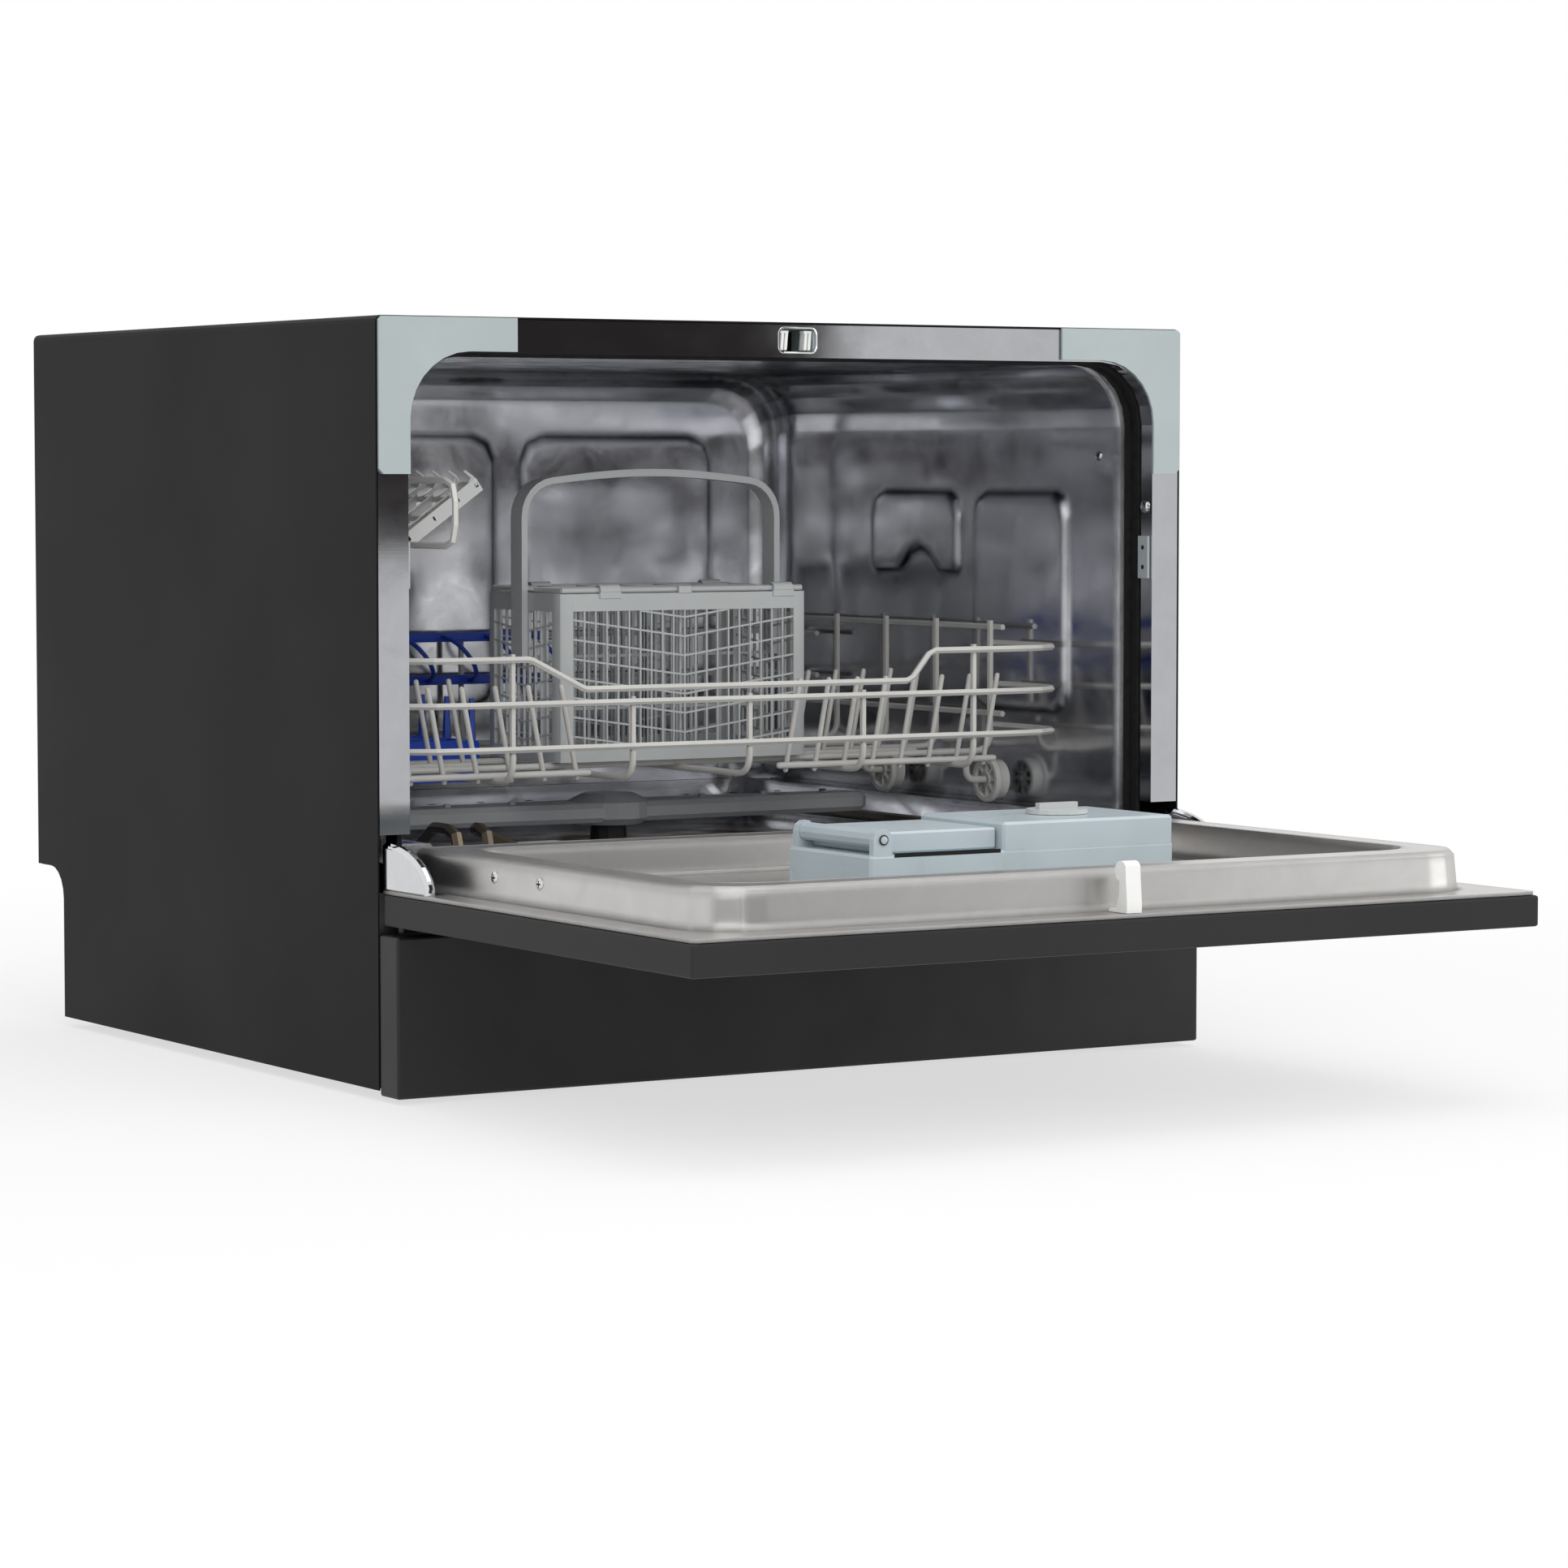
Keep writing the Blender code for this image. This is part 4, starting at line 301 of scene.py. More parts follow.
@dataclass(frozen=True)
class MouldedPlastic(Finish):
    """Injection-moulded plastic: even colour, a fine spark grain and a soft sheen."""

    grain_mm: float = 0.7
    grain_depth_mm: float = 0.010
    flow_mm: float = 45.0
    softness: float = 0.0
    ior: float = 1.49

    def build(self) -> Material:
        """Make the plastic, with faint flow marks where it ran into the mould."""
        material, tree, shader = self.begin()
        point = self.place(tree)
        grain = noise(tree, point, self.grain_mm, Detail=2.0)
        flow = noise(tree, point, self.flow_mm, Detail=2.0, Distortion=0.4)
        fill(tree, shader, {"Base Color": self.tint(tree, flow, 0.96, 1.04),
                            "Roughness": spread(tree, flow, self.roughness - 0.04, self.roughness + 0.04),
                            "Normal": relief(tree, grain, 0.3, self.grain_depth_mm), "IOR": self.ior,
                            "Subsurface Weight": self.softness, "Subsurface Scale": 0.002})
        return material


@dataclass(frozen=True)
class Rubber(Finish):
    """Extruded rubber: matt near-black with a dusty bloom."""

    bloom_mm: float = 6.0

    def build(self) -> Material:
        """Make the rubber, greyer where the bloom gathers."""
        material, tree, shader = self.begin()
        bloom = noise(tree, self.place(tree), self.bloom_mm, Detail=4.0)
        fill(tree, shader, {"Base Color": self.tint(tree, bloom, 0.8, 1.5), "Specular IOR Level": 0.25})
        return material


@dataclass(frozen=True)
class SheetSteel(Finish):
    """Bare steel sheet: a mirror softened by rolling or polishing marks and water haze.

    The wave is drawn ten times as deep as it is named, and soften_mm rounds the look of pressed edges.
    """

    lay: Lay = Lay.CLOUDED
    mark_mm: float = 0.35
    haze_mm: float = 28.0
    wave_mm: float = 90.0
    wave_depth_mm: float = 0.10
    haze: float = 0.10
    soften_mm: float = 0.0

    def stretch(self) -> Point:
        """Squeeze the marks' pattern so that they run the way of the lay."""
        return {Lay.ACROSS: (0.02, 1.0, 1.0), Lay.UPRIGHT: (1.0, 1.0, 0.02),
                Lay.CLOUDED: (0.35, 0.35, 1.0)}[self.lay]

    def build(self) -> Material:
        """Make the steel, with a long soft wave in the sheet that bends what it mirrors."""
        material, tree, shader = self.begin()
        point = self.place(tree)
        marks = noise(tree, self.place(tree, self.stretch()), self.mark_mm, Detail=3.0)
        haze = noise(tree, point, self.haze_mm, Detail=6.0, Roughness=0.62, Distortion=0.6)
        wave = noise(tree, point, self.wave_mm, Detail=1.0)
        under = {}
        if self.soften_mm:
            pressed = add_node(tree, "ShaderNodeBevel", {"Radius": self.soften_mm * MILLIMETRE}, samples=6)
            under = {"Normal": pressed.outputs["Normal"]}
        bend = relief(tree, wave, 0.6, self.wave_depth_mm * 10, **under)
        fill(tree, shader, {"Base Color": self.tint(tree, haze, 1.0, 0.90),
                            "Roughness": spread(tree, haze, self.roughness, self.roughness + self.haze),
                            "Normal": relief(tree, marks, 0.12, 0.01, Normal=bend), "Metallic": 1.0})
        return material


@dataclass(frozen=True)
class GalvanisedSteel(Finish):
    """Zinc-dipped sheet: dull grey with the leafy crystals of the dip."""

    spangle_mm: float = 9.0

    def build(self) -> Material:
        """Make the zinc, each crystal a shade of its own."""
        material, tree, shader = self.begin()
        spangle = add_node(tree, "ShaderNodeTexVoronoi", {"Vector": self.place(tree), "Randomness": 1.0,
                                                          "Scale": 1 / (self.spangle_mm * MILLIMETRE)})
        shade = add_node(tree, "ShaderNodeSeparateColor", {"Color": spangle.outputs["Color"]})
        rough = spread(tree, shade.outputs["Green"], self.roughness - 0.02, self.roughness + 0.03)
        fill(tree, shader, {"Base Color": self.tint(tree, shade.outputs["Red"], 0.96, 1.03),
                            "Roughness": rough, "Metallic": 1.0})
        return material


@dataclass(frozen=True)
class PiercedSteel(Finish):
    """Fine strainer plate: steel with round holes in staggered rows."""

    pitch_mm: float = 2.6
    hole_share: float = 0.33

    def build(self) -> Material:
        """Make the plate, its holes drawn as near-black dots of painted shade at twice their real spacing."""
        material, tree, shader = self.begin()
        point = self.place(tree, (1.0, 1.0, 0.001))
        holes = add_node(tree, "ShaderNodeTexVoronoi", {"Vector": point, "Randomness": 0.0,
                                                        "Scale": 1 / (self.pitch_mm * MILLIMETRE)})
        inside = add_node(tree, "ShaderNodeMath", {0: holes.outputs["Distance"], 1: self.hole_share},
                          operation="LESS_THAN")
        # painted shade: each hole is coloured near-black where the shade behind the plate shows through
        mixed = mix(tree, inside.outputs[0], linear_colour(self.colour), linear_colour("#101012"))
        fill(tree, shader, {"Base Color": mixed, "Metallic": 1.0})
        return material


@dataclass(frozen=True)
class OxidisedSheath(Finish):
    """Heater tube: steel gone straw and brown from its own heat."""

    band_mm: float = 35.0

    def build(self) -> Material:
        """Make the sheath, with the heat colours drifting along it."""
        material, tree, shader = self.begin()
        heat = noise(tree, self.place(tree), self.band_mm, Detail=2.0)
        mixed = mix(tree, spread(tree, heat, 0.0, 1.0), linear_colour(self.colour), linear_colour("#7A6A52"))
        fill(tree, shader, {"Base Color": mixed, "Metallic": 1.0})
        return material


@dataclass(frozen=True)
class SmokedWindow(Finish):
    """Smoked acrylic over the display: deep black under a clear polished face."""

    mask_scale: float = 60.0

    def build(self) -> Material:
        """Make the window, with the faint ghost of the display's mask behind it."""
        material, tree, shader = self.begin()
        mask = add_node(tree, "ShaderNodeTexNoise", {"Vector": self.place(tree), "Scale": self.mask_scale,
                                                     "Detail": 1.0})
        fill(tree, shader, {"Base Color": self.tint(tree, mask.outputs["Fac"], 0.9, 1.2), "Coat Weight": 0.6,
                            "Coat Roughness": 0.04})
        return material


@dataclass(frozen=True)
class CircuitBoard(Finish):
    """Solder mask over copper: green, with paler tracks in a square pattern."""

    track_mm: float = 4.0

    def build(self) -> Material:
        """Make the board."""
        material, tree, shader = self.begin()
        tracks = add_node(tree, "ShaderNodeTexBrick", {"Vector": self.place(tree),
                                                       "Scale": 1 / (self.track_mm * MILLIMETRE),
                                                       "Color1": linear_colour(self.colour),
                                                       "Color2": linear_colour("#2A6440"),
                                                       "Mortar": linear_colour("#4E8A5C"),
                                                       "Mortar Size": 0.08})
        tree.links.new(tracks.outputs["Color"], shader.inputs["Base Color"])
        return material


# The rack's nylon is dipped and fused, so it is smooth, slightly soft and a warm pale grey.
FINISHES: dict[str, Finish] = {finish.name: finish for finish in (
    PowderCoat("casing_coat", "#1A1A1B", 0.50, shine=0.08),
    PowderCoat("door_coat", "#2F2F30", 0.48),
    MouldedPlastic("plinth_plastic", "#131314", 0.55, grain_mm=1.1, grain_depth_mm=0.02),
    MouldedPlastic("base_plastic", "#202021", 0.60, grain_mm=1.2, grain_depth_mm=0.02),
    Rubber("gasket_rubber", "#1A1A1A", 0.78),
    SheetSteel("tub_steel", "#D3D4D8", 0.07, Lay.CLOUDED, haze=0.12, wave_mm=60.0, wave_depth_mm=0.16,
                soften_mm=9.0),
    SheetSteel("frame_steel", "#B4B5B8", 0.05, Lay.ACROSS, haze=0.04, wave_depth_mm=0.02),
    SheetSteel("liner_steel", "#C6C4C2", 0.31, Lay.CLOUDED, haze=0.03, wave_depth_mm=0.03,
                  soften_mm=7.0),
    SheetSteel("cheek_steel", "#D0D1D3", 0.12, Lay.UPRIGHT, haze=0.05, wave_depth_mm=0.03),
    SheetSteel("chrome", "#D8DADC", 0.06, Lay.CLOUDED, haze=0.03, wave_depth_mm=0.01),
    GalvanisedSteel("zinc", "#A3A5A7", 0.42),
    PiercedSteel("strainer", "#B4B5B7", 0.30),
    OxidisedSheath("heater", "#6A6863", 0.38),
    MouldedPlastic("cover_plastic", "#A9B3B4", 0.46, grain_mm=0.9),
    MouldedPlastic("rack_nylon", "#CDCCC8", 0.34, grain_mm=2.5, grain_depth_mm=0.02, softness=0.05),
    MouldedPlastic("shelf_plastic", "#C6C7C5", 0.34, softness=0.06),
    MouldedPlastic("basket_plastic", "#BCBFBF", 0.42, softness=0.06),
    MouldedPlastic("wheel_plastic", "#D2D2CE", 0.36, softness=0.06),
    MouldedPlastic("hook_plastic", "#EAEAE8", 0.38, softness=0.06),
    MouldedPlastic("insert_plastic", "#2F53C8", 0.34),
    MouldedPlastic("dispenser_plastic", "#B9C6CC", 0.30, softness=0.05),
    MouldedPlastic("arm_plastic", "#9EA1A3", 0.45),
    SmokedWindow("display", "#0C0D0F", 0.10),
    MouldedPlastic("button_plastic", "#8C8F92", 0.38),
    CircuitBoard("board", "#2C6B44", 0.45),
    # painted shade: a near-black finish laid on recesses, holes and gaps to stand in for the shade inside
    # them, not a colour of the parts
    MouldedPlastic("shadow_gap", "#0B0B0C", 0.80),
    MouldedPlastic("lamp_white", "#E4E6E6", 0.30),
)}


class Palette:
    """Makes each finish once, when the first piece asks for it."""

    def __init__(self) -> None:
        """Start with nothing made."""
        self.made: dict[str, Material] = {}

    def get(self, name: str) -> Material:
        """Give the material of a finish.

        Args:
            name: the finish's name.

        Returns:
            Its material.
        """
        if name not in self.made:
            self.made[name] = FINISHES[name].build()
        return self.made[name]

    def dress(self, finish: str, *nodes: str) -> None:
        """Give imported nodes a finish.

        Args:
            finish: the finish's name.
            nodes: the nodes' names.
        """
        for node in nodes:
            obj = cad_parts[node]
            if not obj.material_slots:
                obj.data.materials.append(None)
            for slot in obj.material_slots:
                slot.material = self.get(finish)
            LOG.info("node %s: %s", node, finish)


# -------------------------------------------------------------------- drafts


def on_axis(axis: Axis, u: float, v: float, w: float) -> Vector:
    """Place a point by its distance along an axis and its place across it.

    Args:
        axis: the axis.
        u: the first measure across it, in the order of x, y, z.
        v: the second.
        w: the measure along it.

    Returns:
        The point.
    """
    return Vector({Axis.X: (w, u, v), Axis.Y: (u, w, v), Axis.Z: (u, v, w)}[axis])


class Draft:
    """A mesh under way, drawn from simple closed forms and then hung on its body."""

    def __init__(self) -> None:
        """Start an empty mesh."""
        self.mesh = bmesh.new()

    def add(self, points: list[Vector], faces: list[list[int]]) -> None:
        """Add points and the faces between them.

        Args:
            points: the new corners.
            faces: corner numbers of each face.
        """
        corners = [self.mesh.verts.new(point) for point in points]
        for face in faces:
            self.mesh.faces.new([corners[i] for i in face])

    def block(self, low: Point, high: Point, turn: Matrix | None = None) -> None:
        """Add a box between two corners, turned if asked.

        Args:
            low: its lowest corner.
            high: its highest corner.
            turn: where it goes from there.
        """
        across, deep, tall = zip(low, high)
        points = [Vector((x, y, z)) for x in across for y in deep for z in tall]
        if turn is not None:
            points = [turn @ point for point in points]
        self.add(points, [[0, 1, 3, 2], [4, 6, 7, 5], [0, 4, 5, 1], [2, 3, 7, 6], [0, 2, 6, 4], [1, 5, 7, 3]])

    def prism(self, outline: Outline, axis: Axis, start: float, end: float) -> None:
        """Add a straight form with the same outline all along.

        Args:
            outline: points on the plane across the axis, in the order of x, y, z.
            axis: the direction that it runs.
            start: where it starts on the axis.
            end: where it ends.
        """
        count = len(outline)
        points = [on_axis(axis, u, v, w) for w in (start, end) for u, v in outline]
        sides = [[i, (i + 1) % count, count + (i + 1) % count, count + i] for i in range(count)]
        self.add(points, sides + [list(range(count)), list(range(count, 2 * count))])

    def turned(self, profile: Outline, centre: Point, axis: Axis, steps: int = 24) -> None:
        """Add a turned form.

        Args:
            profile: radius and height pairs, from one end to the other.
            centre: the point that height 0 lies on.
            axis: the axis that it is turned about.
            steps: faces round it.
        """
        points = []
        for radius, height in profile:
            for i in range(steps):
                angle = FULL_TURN * i / steps
                point = on_axis(axis, radius * math.cos(angle), radius * math.sin(angle), height)
                points.append(point + Vector(centre))
        faces = []
        for row in range(0, (len(profile) - 1) * steps, steps):
            for i in range(steps):
                following = (i + 1) % steps
                faces.append([row + i, row + following, row + steps + following, row + steps + i])
        faces.append(list(range(steps)))
        faces.append([(len(profile) - 1) * steps + i for i in range(steps)])
        self.add(points, faces)

    def wire(self, path: list[Vector], radius: float, steps: int = 8, closed: bool = False,
             taper: float = 1.0) -> None:
        """Add a round wire along a path, with rounded ends.

        Args:
            path: the points that it follows.
            radius: its radius.
            steps: faces round it.
            closed: whether the end joins the start.
            taper: radius at the end, as a share of the one at the start.
        """
        points, rings = [], []
        count = len(path)
        side = None
        for i, here in enumerate(path):
            before = path[i - 1] if i or closed else here
            after = path[(i + 1) % count] if i + 1 < count or closed else here
            along = (after - before).normalized()
            if side is None:
                side = along.orthogonal().normalized()
            side = (side - along * side.dot(along)).normalized()
            up = along.cross(side)
            size = radius * (1 + (taper - 1) * i / max(1, count - 1))
            ends = [(1.0, 0.0)]
            if not closed and i == 0:
                ends = [(0.45, -0.85), (0.85, -0.5), (1.0, 0.0)]
            elif not closed and i == count - 1:
                ends = [(1.0, 0.0), (0.85, 0.5), (0.45, 0.85)]
            for share, push in ends:
                rings.append(len(points))
                for k in range(steps):
                    angle = FULL_TURN * k / steps
                    ray = side * math.cos(angle) + up * math.sin(angle)
                    points.append(here + ray * size * share + along * size * push)
        faces = []
        pairs = list(zip(rings, rings[1:])) + ([(rings[-1], rings[0])] if closed else [])
        for a, b in pairs:
            for k in range(steps):
                following = (k + 1) % steps
                faces.append([a + k, a + following, b + following, b + k])
        if not closed:
            faces += [list(range(rings[0], rings[0] + steps)), list(range(rings[-1], rings[-1] + steps))]
        self.add(points, faces)

    def shape(self, turn: Matrix) -> None:
        """Turn and move everything drawn so far."""
        bmesh.ops.transform(self.mesh, matrix=turn, verts=self.mesh.verts)

    def hang(self, name: str, body: str, slot: str, material: Material, bevel: float = 0.0,
             sharp: float = 35.0, replaces: tuple[str, ...] = ()) -> None:
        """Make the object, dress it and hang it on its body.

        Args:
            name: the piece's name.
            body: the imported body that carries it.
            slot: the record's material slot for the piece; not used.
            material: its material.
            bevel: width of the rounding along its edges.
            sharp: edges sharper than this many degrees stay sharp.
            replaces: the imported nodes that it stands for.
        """
        bmesh.ops.recalc_face_normals(self.mesh, faces=self.mesh.faces)
        data = bpy.data.meshes.new(name)
        self.mesh.to_mesh(data)
        self.mesh.free()
        data.polygons.foreach_set("use_smooth", [True] * len(data.polygons))
        data.set_sharp_from_angle(angle=math.radians(sharp))
        data.materials.append(material)
        obj = bpy.data.objects.new(name, data)
        bpy.context.scene.collection.objects.link(obj)
        if bevel:
            rounding = obj.modifiers.new("rounding", "BEVEL")
            rounding.width = bevel
            rounding.segments = 2
            rounding.limit_method = "ANGLE"
            rounding.harden_normals = True
        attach(obj, body)
        if replaces:
            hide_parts(*replaces)
        LOG.info("piece %s on %s", name, body)


def bent(corners: list[Point], radius: float, steps: int = 5) -> list[Vector]:
    """Round the inner corners of a path, as a bent wire does.

    Args:
        corners: the path's corners.
        radius: how far before and after each corner its bend reaches.
        steps: how many spans each bend has.

    Returns:
        The rounded path.
    """
    points = [Vector(corner) for corner in corners]
    path = [points[0]]
    for before, here, after in zip(points, points[1:], points[2:]):
        start = here + (before - here).normalized() * radius
        end = here + (after - here).normalized() * radius
        for i in range(steps + 1):
            share = i / steps
            path.append(start * (1 - share) ** 2 + here * 2 * share * (1 - share) + end * share ** 2)
    path.append(points[-1])
    return path


def arc(centre: tuple[float, float], radius: float, start: float, end: float, steps: int) -> Outline:
    """Points along an arc on a plane.

    Args:
        centre: its centre.
        radius: its radius.
        start: the angle that it starts at, in degrees.
        end: the angle that it ends at.
        steps: how many spans it has.

    Returns:
        The points, both ends among them.
    """
    points = []
    for i in range(steps + 1):
        angle = math.radians(start + (end - start) * i / steps)
        points.append((centre[0] + radius * math.cos(angle), centre[1] + radius * math.sin(angle)))
    return points


# ------------------------------------------------------------------ fastener


@dataclass
class Screw:
    """Pan-head screw with a cross recess, seen head-on along one axis."""

    radius: float = 0.0034
    rise: float = 0.0016

    def add_to(self, head: Draft, recess: Draft, place: Point, axis: Axis, facing: int) -> None:
        """Add the screw's head and its recess.

        Args:
            head: the draft that takes the head.
            recess: the draft that takes the cross recess, drawn as a near-black cross of painted shade.
            place: the point on the surface that the head stands on.
            axis: the direction that it faces along.
            facing: 1 or -1, up or down that axis.
        """
        profile = [(self.radius, 0.0), (self.radius, self.rise * 0.35),
                   (self.radius * 0.85, self.rise * 0.75), (self.radius * 0.5, self.rise),
                   (0.0001, self.rise)]
        head.turned([(r, facing * h) for r, h in profile], place, axis, 16)
        # the cross recess is a near-black block of painted shade, standing just proud of the head
        arm, half = self.radius * 0.55, self.radius * 0.13
        low, high = sorted((facing * self.rise * 0.7, facing * (self.rise + 0.00006)))
        for u, v in ((arm, half), (half, arm)):
            recess.block(on_axis(axis, -u, -v, low), on_axis(axis, u, v, high), Matrix.Translation(place))


# ------------------------------------------------------------------- cabinet


@dataclass
class Cabinet:
    """Coated casing, plinth, base, back panel, front frame and what is fixed to them."""

    palette: Palette
    jamb: float = 0.2547
    stud_radius: float = 0.0042
    clip_height: float = 0.026
    clip_width: float = 0.0104
    screw_inset: float = 0.014
    catch_height: float = 0.0115
    rim_half: float = 0.0128
    rim_rise: float = 0.0072
    rim_corner: float = 0.0035
    finger_places: tuple[float, ...] = (-0.0108, -0.0081, 0.0052, 0.0079)
    stud_depth: float = 0.0072
    stud_height: float = 0.330
    clip_depth: float = 0.0070
    clip_middle: float = 0.299
    wall_screw: Point = (0.2500, 0.050, 0.361)
    screw_columns: int = 5

    def build(self) -> None:
        """Dress the nodes and add the fasteners and trim."""
        dress = self.palette.dress
        dress("casing_coat", "outer_casing")
        dress("plinth_plastic", "plinth_panel")
        dress("base_plastic", "base_tray", "cable_gland", "foot_front_left", "foot_front_right",
              "foot_rear_left", "foot_rear_right")
        dress("zinc", "rear_panel", "hinge_bracket_left", "hinge_bracket_right")
        dress("frame_steel", "front_frame")
        dress("cover_plastic", "corner_cover_left", "corner_cover_right", "latch_housing")
        dress("gasket_rubber", "door_gasket")
        dress("arm_plastic", "circulation_pump", "drain_pump", "inlet_valve")
        self.back_screws()
        self.latch_window()
        self.mouth_fittings()

    def back_screws(self) -> None:
        """Screws round the back panel's edge."""
        low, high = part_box("rear_panel")
        head, recess = Draft(), Draft()
        screw = Screw(radius=0.0038, rise=0.0009)
        inset = self.screw_inset
        for i in range(self.screw_columns):
            x = low.x + inset + (high.x - low.x - 2 * inset) * i / (self.screw_columns - 1)
            for z in (low.z + inset, high.z - inset):
                screw.add_to(head, recess, (x, high.y, z), Axis.Y, 1)
        head.hang("back_screws", "cabinet", "zinc_steel", self.palette.get("chrome"))
        # painted shade: the screws' cross recesses are drawn near-black
        recess.hang("back_screw_recess_shade", "cabinet", "black_plastic", self.palette.get("shadow_gap"))

    def latch_window(self) -> None:
        """Pressed rim of the window in the frame, the white fingers that the hook passes between, and a
        near-black strip of painted shade at the back of the window.
        """
        low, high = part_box("latch_housing")
        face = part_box("front_frame")[0].y
        middle = (low.z + high.z) / 2 + 0.0005
        corner = self.rim_corner
        path = []
        for quarter, (across, up) in enumerate(((1, -1), (1, 1), (-1, 1), (-1, -1))):
            centre = (across * (self.rim_half - corner), middle + up * (self.rim_rise - corner))
            start = 90 * quarter - 90
            path += [Vector((a, face + 0.0001, b)) for a, b in arc(centre, corner, start, start + 90, 5)]
        rim = Draft()
        rim.wire(path, 0.0006, 8, closed=True)
        rim.hang("latch_rim", "cabinet", "polished_steel", self.palette.get("chrome"))
        catch, gaps = Draft(), Draft()
        foot, head = middle - self.catch_height / 2, middle + self.catch_height / 2
        for x in self.finger_places:
            finger = [(x, foot), (x + 0.0019, foot), (x + 0.0029, head), (x + 0.0010, head)]
            catch.prism(finger, Axis.Y, low.y + 0.0004, low.y + 0.0060)
        for x in self.finger_places[::2]:
            catch.block((x, low.y + 0.0002, head - 0.0016), (x + 0.0056, low.y + 0.0050, head))
        # painted shade: a near-black strip behind the fingers stands in for the shade deep in the housing
        gaps.block((-0.0150, high.y - 0.0018, foot), (0.0150, high.y - 0.0016, head))
        catch.hang("latch_catch", "cabinet", "white_plastic", self.palette.get("hook_plastic"), bevel=0.0003)
        gaps.hang("latch_gap_shade", "cabinet", "black_plastic", self.palette.get("shadow_gap"))

    def mouth_fittings(self) -> None:
        """Chrome stud, two-hole clip and small screw on each jamb of the mouth; the clip's holes and the
        screw's recess are near-black discs and crosses of painted shade.
        """
        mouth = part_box("front_frame")[0].y
        stud, recess, clip = Draft(), Draft(), Draft()
        radius, half_y, half_z = self.stud_radius, self.clip_width / 2, self.clip_height / 2
        dome = [(radius, 0.0), (radius, 0.0006), (radius * 0.8, 0.0016), (radius * 0.4, 0.0021),
                (0.0002, 0.0021)]
        screw = Screw(radius=0.0030, rise=0.0012)
        y, z = mouth + self.clip_depth, self.clip_middle
        for side in (-1, 1):
            wall = side * self.jamb
            place = (wall, mouth + self.stud_depth, self.stud_height)
            stud.turned([(r, -side * rise) for r, rise in dome], place, Axis.X, 20)
            place = (side * self.wall_screw[0], mouth + self.wall_screw[1], self.wall_screw[2])
            screw.add_to(stud, recess, place, Axis.X, -side)
            face = wall - side * 0.0020
            low, high = sorted((wall - side * 0.0002, face))
            clip.block((low, y - half_y, z - half_z), (high, y + half_y, z + half_z))
            # painted shade: each clip hole is a near-black disc
            for hole in (z - 0.006, z + 0.006):
                recess.turned([(0.0014, 0.0), (0.0014, -side * 0.0001)], (face, y, hole), Axis.X, 14)
        stud.hang("mouth_studs", "cabinet", "polished_steel", self.palette.get("chrome"))
        recess.hang("mouth_recess_shade", "cabinet", "black_plastic", self.palette.get("shadow_gap"))
        clip.hang("mouth_clips", "cabinet", "cover_plastic", self.palette.get("cover_plastic"), bevel=0.0004)


# ----------------------------------------------------------------------- tub


@dataclass
class Tub:
    """Pressed steel wash tub with its heater, filter, salt cap and spray arm."""

    palette: Palette
    nozzle_radius: float = 0.0022

    def build(self) -> None:
        """Dress the nodes and add the arm's jets."""
        dress = self.palette.dress
        dress("tub_steel", "tub", "tub_floor")
        dress("heater", "heating_element")
        dress("strainer", "filter_plate")
        dress("base_plastic", "sump", "filter_cup")
        dress("shelf_plastic", "water_softener", "salt_cap")
        dress("arm_plastic", "spray_arm")
        self.jets()

    def jets(self) -> None:
        """Jet holes along the top of the spray arm, drawn as near-black discs of painted shade."""
        low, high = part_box("spray_arm")
        middle = (low.y + high.y) / 2
        jets = Draft()
        for side in (-1, 1):
            for share in (0.30, 0.48, 0.66, 0.84):
                x = side * share * high.x
                jets.turned([(self.nozzle_radius, 0.0), (self.nozzle_radius, 0.0003), (0.0002, 0.0003)],
                            (x, middle, low.z + 0.0160), Axis.Z, 14)
        jets.hang("spray_jet_shade", "arm", "black_plastic", self.palette.get("shadow_gap"))


# ---------------------------------------------------------------------- door


